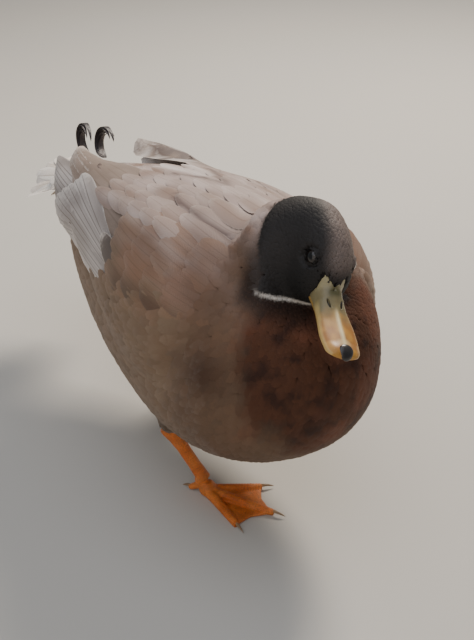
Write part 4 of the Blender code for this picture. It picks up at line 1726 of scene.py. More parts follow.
@dataclass
class LongFeathers:
    """Quills, tertials, coverts and scapulars of both wings, lying on the mantle."""

    mantle: Mantle
    markings: Markings
    rng: np.random.Generator = field(default_factory=lambda: np.random.default_rng(SEED + 1))
    arc_radius_mm: float = 67.0
    secondaries: VaneRow = VaneRow(
        9, (74, 8), (30, 24), (-86, 6), (-66, 44), 8.6, (-3.0, -2.8), (0.9, 0.5),
        ("CDC4BF", "E2DAD5", "AEA49F"), inner="958A84", bow=2.0, point=2.6, fringe=0.95,
    )
    primaries: VaneRow = VaneRow(
        8, (20, 14), (8, 38), (-120, 26), (-136, 42), 8.0, (-3.4, -3.2), (-0.1, 0.0),
        ("C6BDB8", "DBD3CE", "A79E99"), inner="8E847E", bow=1.0, point=2.2, fringe=0.8,
    )
    tertials: VaneRow = VaneRow(
        5, (56, 34), (64, 64), (-98, 48), (-114, 64), 12.0, (-3.2, -2.6), (-0.2, 0.8),
        ("978579", "A6958A", "857468"), inner="8A796D", bow=1.5, point=2.4, fringe=0.7, thick=0.55,
    )
    edged_covert: VaneRow = VaneRow(
        1, (82, 15), (82, 15), (5, 27), (5, 27), 8.0, (-3.0, -3.0), (0.1, 0.1),
        ("6E635C", "857A73", "574C46"), bow=0.0, point=1.6, fringe=1.0,
    )
    greater_coverts: VaneRow = VaneRow(
        9, (88, 14), (80, 48), (30, 18), (24, 48), 7.0, (-3.4, -3.0), (0.0, 0.3),
        ("8C6D57", "9E826D", "6F5644"), inner="836650", bow=1.0, point=1.6, fringe=0.06, thick=0.25,
    )
    median_coverts: VaneRow = VaneRow(
        10, (102, 17), (94, 52), (54, 19), (47, 51), 6.4, (-3.6, -3.2), (0.1, 0.4),
        ("896A55", "9A7D69", "6A5040"), inner="80624E", bow=1.0, point=1.6, fringe=0.05, thick=0.22,
    )
    front_coverts: VaneRow = VaneRow(
        11, (116, 20), (108, 56), (76, 21), (68, 54), 5.8, (-4.0, -3.6), (0.2, 0.5),
        ("846652", "957966", "654D3E"), inner="7B5E4B", bow=0.5, point=1.5, fringe=0.04, thick=0.2,
    )
    shoulder_coverts: VaneRow = VaneRow(
        11, (128, 26), (120, 60), (94, 25), (86, 57), 5.2, (-4.4, -4.0), (0.2, 0.5),
        ("7E6251", "8E7462", "634D40"), inner="765B4A", bow=0.5, point=1.5, fringe=0.04, thick=0.2,
    )
    scapular_rows: int = 6
    scapular_steps: int = 6
    # Painted shadow where the scapulars part, and a painted highlight band beside them: forward, angle.
    shadow_lines: tuple = (((37, 66), (51, 63), (79, 64), (98, 65), (122, 64)), ((5, 78), (30, 86), (50, 90)))
    highlight_line: tuple = ((-21, 82), (23, 90))
    # colours of the painted shadow lines and the painted highlight band
    line_shadow: str = "54423E"
    line_highlight: str = "E6DCD6"
    speckle_dark: str = "5B504D"
    speckle_pale: str = "D9D3CE"
    scapular_tones: tuple = (
        ("A39088", "BCABA4", "8A7468"),
        ("AA988F", "C2B2AB", "917B6F"),
        ("9C887E", "B5A49C", "836C5F"),
    )
    short_mm: float = 75.0  # shorter vanes take up the markings of their place
    scapular_angle: float = 52.0  # short vanes above this are scapulars

    def scapulars(self) -> list:
        """Lists the scapulars, row by row from the wing up to the back and from tail to neck.

        Returns:
            A row of one vane for each.
        """
        rows = []
        for row in range(self.scapular_rows):
            angle = 48 + 8.4 * row
            for step in range(self.scapular_steps):
                root = (28 + 17.5 * step + 5 * (row % 2), angle + 1.2 * step * (row < 5))
                tip = (root[0] - 62 + 2.0 * row, angle - 4 + 1.2 * step * (row < 5))
                height = 0.3 + 0.08 * step + 0.05 * row
                rows.append(
                    VaneRow(
                        1, root, root, tip, tip, 6.2 + 0.5 * (step % 2), (-3.6,) * 2, (height,) * 2,
                        self.scapular_tones[(row + step) % 3], inner="937F74", bow=1.5, point=1.45,
                        fringe=0.2, thick=0.28,
                    )
                )
        return rows

    def build(self, quill: Material, covert: Material) -> None:
        """Makes both wings' pieces.

        Args:
            quill: The finish of flight feathers.
            covert: The finish of broad soft feathers.
        """
        coverts = (self.edged_covert, self.greater_coverts, self.median_coverts)
        coverts += (self.front_coverts, self.shoulder_coverts, *self.scapulars())
        for side, hand in (("right", 1), ("left", -1)):
            for piece, rows, finish, slot, node in (
                ("quills", (self.primaries, self.secondaries), quill, "quill_feathers", "primaries"),
                ("tertial_vanes", (self.tertials,), covert, "tertial_feathers", "tertials"),
                ("covert_vanes", coverts, covert, "wing_feathers", "wing"),
            ):
                mesh = self._rows(f"{piece}_{side}", rows, hand)
                place_piece(mesh, finish, (f"{node}_{side}",))

    def _rows(self, name: str, rows: tuple, hand: int) -> Mesh:
        """Lays out rows of vanes.

        Args:
            name: The piece's name.
            rows: The rows, the lowest first.
            hand: 1 on the right and -1 on the left.

        Returns:
            One mesh of all the vanes.
        """
        laid = [self._laid(row, k / max(1, row.count - 1), hand) for row in rows for k in range(row.count)]
        return mesh_from_vanes(name, VaneShape.lens, laid)

    def _gap(self, line: tuple, forward: Rows, angle: Rows) -> Rows:
        """Gives how far places lie from a line over the mantle, in millimetres.

        Args:
            line: Its corners, as forward and an angle.
            forward: Places along the body.
            angle: Angles up the side.

        Returns:
            One distance for each place.
        """
        arc = math.radians(1) * self.arc_radius_mm
        best = np.full(len(forward), FAR)
        for (f0, a0), (f1, a1) in zip(line, line[1:]):
            span = np.array([f1 - f0, (a1 - a0) * arc])
            off = np.stack([forward - f0, (angle - a0) * arc], -1)
            share = np.clip(off @ span / (span @ span), 0, 1)
            best = np.minimum(best, np.linalg.norm(off - share[:, None] * span, axis=-1))
        return best

    def _laid(self, row: VaneRow, share: float, hand: int) -> LaidVane:
        """Lays one vane on the mantle and colours it.

        Args:
            row: The vane's row.
            share: Its place in the row, from 0 for the first to 1 for the last.
            hand: 1 on the right and -1 on the left.

        Returns:
            The laid vane.
        """
        lens = VaneShape.lens
        jitter = self.rng.normal(0, 1, 4)
        root = np.array(row.first_root) * (1 - share) + np.array(row.last_root) * share
        tip = np.array(row.first_tip) * (1 - share) + np.array(row.last_tip) * share
        root, tip = root + jitter[:2] * (1.5, 0.6), tip + jitter[2:] * (2.6, 0.8)
        if hand < 0:
            root[1], tip[1] = 180 - root[1], 180 - tip[1]
        along = VaneShape.place_rings(lens.along)
        forward = root[0] + (tip[0] - root[0]) * along
        angle = root[1] + (tip[1] - root[1]) * along - hand * row.bow * np.sin(np.pi * along)
        per_degree = math.radians(1) * self.arc_radius_mm
        way = np.array([tip[0] - root[0], (tip[1] - root[1]) * per_degree])
        aside = lens.across * (VaneShape.width(along, row.point) * row.half_width)
        forward = forward - unit(way)[1] * aside
        angle = angle + unit(way)[0] * aside / per_degree
        low, high = (a + (b - a) * share for a, b in (row.root_height, row.tip_height))
        height = low + (high - low) * smooth(0.0, 0.75, along)
        height = height + lens.rise * VaneShape.half_thickness(along, row.thick)
        height = height + VaneShape.shaft(along, 0.35)
        height = height - row.camber * lens.across**2 * np.sin(np.pi * np.clip(along, 0.05, 0.95))
        spots = self.mantle.surface(forward, angle, height)
        cloud = 0.72 * NOISE(spots / MM * (1, 0.3, 1), 9.0) + 0.28 * (0.5 + 0.22 * jitter[0])
        usual, pale, dark = row.colours
        colour = layered(usual, (pale, smooth(0.50, 0.72, cloud)), (dark, smooth(0.46, 0.26, cloud)))
        mirrored = np.where(angle > 90, 180 - angle, angle)
        short = root[0] - tip[0] < self.short_mm
        colour = self._marked(colour, spots, forward, mirrored, short)
        if row.inner:
            depth = 0.35 if short else 0.75
            colour = layered(colour, (row.inner, depth * smooth(0.3, -0.7, lens.across * hand)))
        if hand < 0 and row is self.tertials:
            speckle = NOISE(spots / MM * (1, 0.5, 1) + 11, 5.0)
            colour = layered(
                colour,
                (self.speckle_dark, 0.8 * smooth(0.60, 0.42, speckle) * smooth(0.1, 0.5, along)),
                (self.speckle_pale, 0.7 * smooth(0.58, 0.74, speckle) * smooth(0.3, 0.7, along)),
            )
        # Painted shade: darker towards each vane's root, under the vanes that lie over it.
        colour = colour * (0.80 + 0.20 * smooth(0.0, 0.35, along))[:, None]
        # Painted shade low on the front of the wing, along its lower edge over the flank.
        colour = colour * (1 - 0.5 * smooth(26, 14, mirrored) * smooth(30, 50, forward))[:, None]
        return LaidVane(spots, colour, row.fringe, along, aside, math.hypot(*way), self.rng.random())

    def _marked(self, colour: Rows, spots: Rows, forward: Rows, angle: Rows, short: bool) -> Rows:
        """Lays the markings of a short vane's place over its own colours, and on scapulars painted shadow
        lines and a painted highlight band.

        Args:
            colour: The vane's colours.
            spots: Its points.
            forward: Their places along the body in millimetres.
            angle: Their angles up the side in degrees.
            short: Whether the vane is short.

        Returns:
            The vane's colours, unchanged on a long one.
        """
        if not short:
            return colour
        colour = layered(colour, (self.markings.paint(spots)[:, :3], 0.55))
        if np.mean(angle) <= self.scapular_angle:
            return colour
        # Painted shadow where the scapulars part, and a painted highlight on the sunlit band beside them.
        for line in self.shadow_lines:
            gap = self._gap(line, forward, angle)
            colour = layered(colour, (self.line_shadow, 0.75 * smooth(2.6, 0.6, gap)))
        gap = self._gap(self.highlight_line, forward, angle)
        return layered(colour, (self.line_highlight, 0.7 * smooth(7, 2, gap)))


def strip_map(lens: Lens, count: int) -> Rows:
    """Gives each of many vanes its own strip of the bake map, with its two faces side by side.

    Args:
        lens: The vanes' shape.
        count: How many vanes there are.

    Returns:
        A place on the map for each point of each vane.
    """
    columns = max(1, math.ceil(math.sqrt(count * 0.35)))
    rows = math.ceil(count / columns)
    number = np.arange(count)
    left = (number % columns + 0.06) / columns
    low = (number // columns + 0.06) / rows
    across = np.arctan2(lens.rise, lens.across) / (2 * math.pi) + 0.5
    u = left[:, None] + across[None] * 0.88 / columns
    v = low[:, None] + lens.along[None] * 0.88 / rows
    return np.stack([u, v], -1).reshape(-1, 2)


@dataclass
class Tail:
    """The fan of tail feathers, its coverts and the drake's two curls. Lengths are in millimetres."""

    lean: Lean
    rng: np.random.Generator = field(default_factory=lambda: np.random.default_rng(SEED + 2))
    count: int = 15
    root_forward: float = -122.0
    tip_forward: float = -202.0
    rounding: float = 28.0  # how much shorter the outermost feathers are
    half_spread: float = 38.0
    root_spread: float = 9.0
    root_up: float = 148.2
    tip_up: float = 134.5
    root_droop: float = 4.0  # how far the fan's sides hang below its middle
    tip_droop: float = 32.0
    half_width: float = 7.4
    tones: tuple = ("F3E9DE", "E9DDCF", "F6F0E7")
    dusky: str = "B9AB9C"
    covert_count: int = 13
    covert_half_width: float = 6.6
    # The coverts' layers: their share of the fan's length, their height over it, and their tones in turn.
    covert_layers: tuple = (
        (0.74, 3.0, ("EFE4D8", "F4ECE2", "E0D4C6")),
        (0.56, 5.0, ("DDD1C4", "EADFD3", "B5A89B")),
        (0.38, 6.0, ("5A5050", "8B7F76", "473E3F")),
        (0.74, -4.0, ("EADFD2", "F0E7DC", "DACDBE")),
        (0.52, -7.5, ("B8AA9B", "CDC0B2", "A09283")),
    )
    # A curl's strands: how far each strays aside, its share of the curl's size, its half width and its tone.
    strands: tuple = (
        (0.0, 1.0, 4.2, "332D2F"),
        (2.4, 0.97, 3.4, "484041"),
        (-2.2, 0.93, 3.2, "2A2527"),
        (1.0, 0.88, 3.0, "3D3638"),
        (-1.0, 0.83, 2.6, "544B4A"),
    )

    def build(self, vane_finish: Material, curl_finish: Material) -> None:
        """Makes the fan and the curls.

        Args:
            vane_finish: The finish of the fan and its coverts.
            curl_finish: The finish of the curled feathers.
        """
        self._fan(vane_finish)
        for name, side, size in (("right", 1, 14.0), ("left", -1, 12.0)):
            self._curl(f"curl_{name}", side, size, curl_finish, f"tail_curl_{name}")

    def _fan(self, finish: Material) -> None:
        """Makes the tail feathers, the outermost lowest, and the coverts over and under their roots.

        Args:
            finish: The material.
        """
        vanes = []
        for k in sorted(range(self.count), key=lambda k: -abs(k - (self.count - 1) / 2)):
            v = -1 + 2 * k / (self.count - 1)
            size = (self.root_forward, 1.0, self.half_width, 1.6 * (1 - abs(v)))
            vanes.append(self._vane(v, *size, self.tones[k % 3], 0.9))
        for layer, (reach, lift, tones) in enumerate(self.covert_layers):
            for k in range(self.covert_count):
                v = (-1 + 2 * k / (self.covert_count - 1)) * 0.98
                rise = lift + 0.5 * (1 - abs(v)) * math.copysign(1, lift)
                size = (self.root_forward + 14, reach, self.covert_half_width, rise)
                vanes.append(self._vane(v, *size, tones[(k * 2 + layer) % 3], 0.6))
        mesh = mesh_from_vanes("tail_vanes", VaneShape.lens, vanes)
        place_piece(mesh, finish, ("tail_fan",))

    def _vane(
        self, v: float, start: float, reach: float, half_width: float, lift: float, tone: str, fringe: float
    ) -> LaidVane:
        """Lays out one feather of the fan.

        Args:
            v: Its place across the fan, from -1 on the left to 1 on the right.
            start: How far forward its root is.
            reach: Its share of the fan's length.
            half_width: Half its width.
            lift: Its height over the fan's middle layer.
            tone: Its hex colour.
            fringe: How strongly it is fringed.

        Returns:
            The laid feather.
        """
        lens = VaneShape.lens
        luck = self.rng.normal(0, 1, 3)
        along = VaneShape.place_rings(lens.along)
        end = start + (self.tip_forward + self.rounding * abs(v) ** 2.2 - start) * reach + luck[0] * 2.2
        way = unit(np.array([end - start, v * self.half_spread * reach - v * self.root_spread]))
        aside = lens.across * (VaneShape.width(along, 2.1) * half_width)
        forward = start + (end - start) * along + way[1] * aside
        right = v * self.root_spread + (v * self.half_spread * reach - v * self.root_spread) * along
        right = right + luck[1] * 1.4 * along - way[0] * aside
        far = np.clip((self.root_forward - forward) / (self.root_forward - self.tip_forward), 0, 1)
        spread = self.root_spread + (self.half_spread - self.root_spread) * far + half_width
        droop = self.root_droop + (self.tip_droop - self.root_droop) * far
        level = self.root_up + (self.tip_up - self.root_up) * far
        level = level - droop * np.clip(right / spread, -1, 1) ** 2
        twist = 0.9 * luck[2] * lens.across * along
        up = level + lift * (0.3 + 0.7 * along) + lens.rise * VaneShape.half_thickness(along, 0.5)
        up = up + VaneShape.shaft(along, 0.3) - 0.4 * lens.across**2 + twist
        spots = self.lean.put(forward, right, up)
        dusky = smooth(0.75, 0.15, np.abs(lens.across)) * smooth(0.97, 0.6, along) * 0.35
        colour = layered(tone, (self.dusky, dusky)) * (0.9 + 0.2 * NOISE(spots / MM, 5.0))[:, None]
        return LaidVane(spots, colour, fringe, along, aside, start - end, abs(luck[2]) % 1)

    def _curl(self, name: str, side: int, size: float, finish: Material, node: str) -> None:
        """Makes one bunch of curled feathers, as a few vanes nested along one spiral.

        Args:
            name: The piece's name.
            side: 1 for the right one and -1 for the left.
            size: The spiral's radius.
            finish: The material.
            node: The CAD node that it stands for.
        """
        lens = Lens(10, 22)
        along = lens.along
        vanes = []
        for k, (shift, shrink, width, tone) in enumerate(self.strands):
            turn = np.radians(-18 + (262 - 16 * k) * along)
            radius = size * shrink * (1.25 - 0.45 * along)
            aside = lens.across * (width * (1 - 0.92 * along**2) * smooth(-0.1, 0.2, along))
            thick = lens.rise * (0.28 * (1 - 0.6 * along))
            forward = -124.8 - 12 - radius * np.sin(turn) - np.sin(turn) * thick
            up = 153.3 + 3.2 + radius * (1 - np.cos(turn)) - np.cos(turn) * thick
            right = 5.5 * side + 4 * side * along + shift * along + aside
            colour = np.tile(linear(tone), (len(along), 1))
            vanes.append(LaidVane(self.lean.put(forward, right, up), colour, 0.35, along, aside, 50.0, 0.5))
        place_piece(mesh_from_vanes(name, lens, vanes), finish, (node,))


# --------------------------------------------------------------------
# Bill, eyes and feet
# --------------------------------------------------------------------


def mesh_from_lens(name: str, lens: Lens, spots: Rows) -> Mesh:
    """Makes one smooth mesh from a laid-out lens and turns its faces outwards.

    Args:
        name: The mesh's name.
        lens: The shape.
        spots: Where its points lie.

    Returns:
        The mesh.
    """
    mesh = mesh_from_copies(name, lens, spots[None])
    bm = bmesh.new()
    bm.from_mesh(mesh)
    bmesh.ops.recalc_face_normals(bm, faces=bm.faces)
    bm.to_mesh(mesh)
    bm.free()
    mesh.shade_smooth()
    return mesh


@dataclass
class Bill:
    """The bill: a broad plate with two arms up the face, slit nostrils, the lower bill and the dark nail."""

    head: HeadFrame
    edge: BillEdge
    root_mm: float = -9.5
    tip_mm: float = 42.5
    stations: tuple = (-9.5, -3.2, 3.2, 9.5, 15.8, 22.2, 28.5, 34.9, 41.2)  # forward, in millimetres
    half_widths: tuple = (9.0, 8.8, 8.5, 8.9, 9.9, 10.9, 11.3, 10.5, 6.2)
    ridges: tuple = (14.5, 13.8, 10.4, 7.4, 5.7, 4.8, 4.2, 3.6, 1.8)
    depths: tuple = (5.2, 5.0, 4.4, 3.8, 3.4, 3.0, 2.7, 2.3, 1.6)
    face_stations: tuple = (-12.8, -6.6, -2.5, 1.0, 3.0)
    face_tops: tuple = (27.8, 22.2, 16.8, 12.8, 8.0)
    face_half_widths: tuple = (14.4, 11.7, 8.2, 3.8, 0.5)
    nostril_mm: tuple = (8.8, 3.9)  # forward and out of its middle
    nostril_half_mm: tuple = (2.7, 0.8)
    nostril_turn: float = math.radians(-14)
    nail_mm: tuple = (39.4, 2.2)  # forward and up to its middle
    nail_half_mm: tuple = (4.5, 4.3, 1.7)  # along, across and through it
    nail_turn: float = math.radians(24)
    centre_mm: float = 3.5  # the height that the root spreads from
    comb_mm: float = 1.15  # from one tooth of the comb to the next, coarser than life so that they show
    plate_grey: str = "7F7350"
    plate_ochre: str = "97621A"
    plate_yellow: str = "C08E3A"
    # paler ridge with a painted highlight down the middle of the bill
    ridge_cream_and_highlight: str = "EADDAE"
    root_olive: str = "56522F"
    rim_cream: str = "D2B574"
    # pale patch above the nail, partly painted highlight where the ridge's highlight ends
    tip_cream_and_highlight: str = "D8BE84"
    arm_grey: str = "A2966F"
    # painted shade inside the nostril slits
    nostril_painted_shade: str = "2B251C"
    under_ochre: str = "B08A45"
    under_olive: str = "8E7A4A"
    nail_black: str = "1F1A19"
    nail_brown: str = "4A3B2E"

    def build(self, horn: Material, nail: Material) -> None:
        """Makes the upper bill, the lower bill and the nail.

        Args:
            horn: The finish of the bill.
            nail: The finish of its nail.
        """
        upper = self._upper()
        place_piece(self._coloured(upper, self._upper_colours), horn, ("bill_upper",))
        lower = mesh_from_lens("bill_underside", *self._lower())
        place_piece(self._coloured(lower, self._lower_colours), horn, ("bill_lower",))
        place_piece(self._coloured(self._nail(), self._nail_colours), nail, ("bill_nail",))

    def _profile(self, forward: Rows, values: tuple) -> Rows:
        """Reads one of the bill's measures at places along it, closing to a round tip.

        Args:
            forward: Places along the bill.
            values: The measure at each station.

        Returns:
            The measure at each place.
        """
        last = self.stations[-2]
        grown = np.interp(forward, np.linspace(*self._ends, 200), self._softened(values))
        shut = np.clip((forward - last) / (self.tip_mm - last), 0, 1)
        return grown * np.sqrt(np.maximum(0, 1 - shut**2.6))

    @property
    def _ends(self) -> tuple:
        """Gives the first and last station."""
        return self.stations[0], self.stations[-1]

    def _softened(self, values: tuple) -> Rows:
        """Rounds a measure's corners by averaging it along the bill, holding the value before the tip.

        Args:
            values: The measure at each station.

        Returns:
            The measure at 200 even steps.
        """
        held = (*values[:-1], values[-2] * 0.97)
        fine = np.interp(np.linspace(*self._ends, 200), self.stations, held)
        padded = np.pad(fine, 12, mode="edge")
        return np.convolve(padded, np.ones(25) / 25, mode="valid")

    def _upper(self) -> Mesh:
        """Lays out the upper bill, wraps its root round the face and sinks the nostrils.

        Returns:
            The mesh.
        """
        lens = Lens(64, 84)
        along = 1 - (1 - lens.along) ** 1.25
        forward = self.root_mm + (self.tip_mm - self.root_mm) * along
        half, ridge = self._profile(forward, self.half_widths), self._profile(forward, self.ridges)
        side = np.sign(lens.across) * np.abs(lens.across) ** 0.75 * half
        share = np.abs(side) / np.maximum(half, 0.01)
        up = np.where(lens.rise > 0, ridge * np.maximum(lens.rise, 0) ** 0.9, 0.5 * lens.rise)
        top = lens.rise > 0
        middle = smooth(10, 18, forward) * smooth(38, 32, forward)
        hollow = np.exp(-(((share - 0.55) / 0.24) ** 2)) * 0.55 * middle
        crest = np.exp(-((side / 1.7) ** 2)) * 0.35 * smooth(2, 8, forward) * smooth(37, 28, forward)
        rim = np.exp(-(((share - 0.97) / 0.06) ** 2)) * 0.25 * smooth(4, 14, forward)
        up = up + np.where(top, crest + rim - hollow, 0.0)
        droop = 0.9 * smooth(0.55, 1.0, share) * smooth(14, 30, forward) * smooth(43, 36, forward)
        up = up - droop + 0.4 * np.sin(np.pi * np.clip((forward - 4) / 34, 0, 1)) * smooth(0.6, 1.0, share)
        places = self._wrapped(np.stack([forward, up, side], -1), lens)
        mesh = mesh_from_lens("bill_plate", lens, self.head.outward(places))
        self._sink_nostrils(mesh)
        return mesh

    def _wrapped(self, places: Rows, lens: Lens) -> Rows:
        """Spreads the root over the face under the arms, and dives under the feathers behind their edge.

        Args:
            places: Rows of forward, up, right.
            lens: The shape that they are laid out from.

        Returns:
            The moved places.
        """
        forward, up, side = places.T
        top = np.interp(forward, self.face_stations, self.face_tops)
        half = np.interp(forward, self.face_stations, self.face_half_widths)
        centre = self.centre_mm
        face_side = lens.across * half
        face_up = centre + np.maximum(lens.rise, 0) * (top - centre) + np.minimum(lens.rise, 0) * 4.0
        own = np.hypot(side, up - centre)
        face = np.hypot(face_side, face_up - centre)
        share = smooth(-0.5, 0.9, face - own) * (lens.rise > -0.02) * smooth(3.4, 1.0, forward)
        side = side + (face_side - side) * share
        up = up + (face_up - up) * share
        placed = np.stack([forward, up, side], -1)
        bare = self.edge.bare(placed)
        sink = -2.9 + 2.55 * smooth(-1.3, 0.2, bare)
        sink = np.where(forward < 5, sink * smooth(5.0, 3.0, forward), 0.0)
        outward = unit(np.stack([side, up - centre], -1))
        placed[:, 2] += outward[:, 0] * sink
        placed[:, 1] += outward[:, 1] * sink
        return placed

    def _nostril(self, places: Rows) -> Rows:
        """Gives how far points are from the nearer nostril's middle, where 1 is its rim.

        Args:
            places: Rows of forward, up, right.

        Returns:
            One number for each row.
        """
        forward = places[..., 0] - self.nostril_mm[0]
        out = np.abs(places[..., 2]) - self.nostril_mm[1]
        c, s = math.cos(self.nostril_turn), math.sin(self.nostril_turn)
        long, wide = self.nostril_half_mm
        reach = np.hypot((forward * c + out * s) / long, (out * c - forward * s) / wide)
        return np.where(places[..., 1] > 3.0, reach, FAR)

    def _sink_nostrils(self, mesh: Mesh) -> None:
        """Refines the plate round the nostrils and presses the slits into it.

        Args:
            mesh: The plate.
        """
        bm = bmesh.new()
        bm.from_mesh(mesh)
        for cuts in (2, 1):
            reach = self._nostril(self.head.inward(np.array([v.co for v in bm.verts])))
            close = {v for v, r in zip(bm.verts, reach) if r < (2.2 if cuts == 2 else 1.5)}
            edges = [e for e in bm.edges if e.verts[0] in close and e.verts[1] in close]
            bmesh.ops.subdivide_edges(bm, edges=edges, cuts=cuts, use_grid_fill=True, smooth=0.4)
        bm.normal_update()
        reach = self._nostril(self.head.inward(np.array([v.co for v in bm.verts])))
        for vert, r in zip(bm.verts, reach):
            if r < 2.2:
                pit = 1.25 * (1 - min(r, 1.0) ** 3) if r < 1 else 0.0
                lip = 0.14 * math.exp(-(((r - 1.18) / 0.16) ** 2))
                vert.co += vert.normal * (lip - pit) * MM
        bm.to_mesh(mesh)
        bm.free()
        mesh.shade_smooth()

    def _lower(self) -> tuple:
        """Lays out the lower bill with the fine combs along its sides.

        Returns:
            The lens and its points.
        """
        lens = Lens(28, 130)
        forward = self.root_mm + (self.tip_mm - 2.2 - self.root_mm) * lens.along
        half = np.maximum(self._profile(forward + 1.6, self.half_widths) - 1.2, 0.0)
        depth = self._profile(forward + 1.6, self.depths)
        rim = np.exp(-(((np.abs(lens.across) - 0.97) / 0.1) ** 2))
        comb = 0.16 * np.sin(forward * 2 * np.pi / self.comb_mm) * rim
        side = np.sign(lens.across) * (np.abs(lens.across) ** 0.75 * half + comb)
        up = -0.8 - depth * np.maximum(-lens.rise, 0) ** 0.9
        places = np.stack([forward, up, side], -1)
        return lens, self.head.outward(places)

    def _nail(self) -> Mesh:
        """Lays out the nail: a shield that hooks down over the tip.

        Returns:
            The mesh.
        """
        lens = Lens(36, 28)
        c, s = math.cos(self.nail_turn), math.sin(self.nail_turn)
        half_long, half_wide, half_high = self.nail_half_mm
        long = -np.cos(np.pi * lens.along)
        ring = np.sin(np.pi * lens.along)
        wide = lens.across * ring * half_wide * (1 - 0.12 * long)
        high = lens.rise * ring * half_high - 0.9 * np.maximum(long, 0) ** 2
        forward = self.nail_mm[0] + long * half_long * c + high * s
        up = self.nail_mm[1] - long * half_long * s + high * c
        return mesh_from_lens("bill_tip_nail", lens, self.head.outward(np.stack([forward, up, wide], -1)))

    def _coloured(self, mesh: Mesh, colours: Callable) -> Mesh:
        """Writes a piece's tint and growth directions.

        Args:
            mesh: The piece's mesh.
            colours: A function from places on the head to linear colours.

        Returns:
            The same mesh.
        """
        places = self.head.inward(points_of(mesh))
        write_attributes(mesh, tint=with_fringe(colours(places)), barb=places[:, (2, 0, 1)])
        return mesh

    def _upper_colours(self, places: Rows) -> Rows:
        """Gives the upper bill's colours: greyish at the base, ochre towards the tip, cream at the rim, a
        pale ridge with a painted highlight down its middle and above the nail, and painted shade in the
        nostrils.

        Args:
            places: Rows of forward, up and right on the head.

        Returns:
            Rows of linear colours.
        """
        forward, up, side = places.T
        out = np.abs(side)
        share = out / self._profile(np.clip(forward, -9, 40), self.half_widths)
        cloud = NOISE(places + 30, 5.0)
        at_root, at_tip = np.abs(forward - 2.5), np.abs(forward - 33.5)
        return layered(
            self.plate_grey,
            (self.plate_ochre, smooth(10, 25, forward)),
            (self.plate_yellow, 0.6 * smooth(0.40, 0.75, cloud) * smooth(8, 16, forward)),
            # pale ridge and painted highlight down the middle
            (self.ridge_cream_and_highlight, 0.85 * np.exp(-((side / 1.1) ** 2)) * smooth(10, 16, forward)),
            (self.root_olive, 0.85 * smooth(4.0, 0.5, at_root) * smooth(5.4, 2.0, out)),
            (self.rim_cream, 0.7 * smooth(0.86, 0.99, share) * smooth(2, 10, forward)),
            # pale patch and painted highlight above the nail
            (self.tip_cream_and_highlight, 0.5 * smooth(5.0, 2.0, out) * smooth(3.0, 0.6, at_tip)),
            (self.arm_grey, 0.7 * smooth(5, 8, up) * smooth(1.0, -2.0, forward)),
            # painted shade inside the nostrils
            (self.nostril_painted_shade, smooth(1.15, 0.8, self._nostril(places))),
        )

    def _lower_colours(self, places: Rows) -> Rows:
        """Gives the lower bill's colours, duller underneath."""
        return layered(self.under_ochre, (self.under_olive, smooth(-2.0, -4.5, places[:, 1])))

    def _nail_colours(self, places: Rows) -> Rows:
        """Gives the nail's colours: near black with a browner root."""
        return layered(self.nail_black, (self.nail_brown, smooth(37.0, 35.0, places[:, 0])))


@dataclass
class Eyeballs:
    """The two eyeballs with a slightly raised cornea."""

    eyes: Eyes
    cornea_mm: float = 0.35
    pupil: float = math.radians(24)
    iris: float = math.radians(46)
    pupil_black: str = "040303"
    iris_brown: str = "1C100A"
    white_dark: str = "0C0705"

    def build(self, finish: Material) -> None:
        """Makes both eyes.

        Args:
            finish: The material.
        """
        for name, side in (("right", 1), ("left", -1)):
            lens = Lens(48, 60)
            middle, out, lids, across = self.eyes.axes(side)
            polar = np.pi * (1 - lens.along)
            radius = self.eyes.radius_mm - 0.05 + self.cornea_mm * np.exp(-((polar / self.iris) ** 4))
            places = middle + out * (np.cos(polar) * radius)[:, None]
            places = places + lids * (np.sin(polar) * lens.across * radius)[:, None]
            places = places + across * (np.sin(polar) * lens.rise * radius)[:, None]
            mesh = mesh_from_lens(f"eyeball_{name}", lens, self.eyes.head.outward(places))
            colour = layered(
                self.pupil_black,
                (self.iris_brown, smooth(self.pupil - 0.05, self.pupil + 0.05, polar)),
                (self.white_dark, smooth(self.iris - 0.14, self.iris, polar)),
            )
            write_attributes(mesh, tint=with_fringe(colour))
            place_piece(mesh, finish, (f"eye_{name}",))


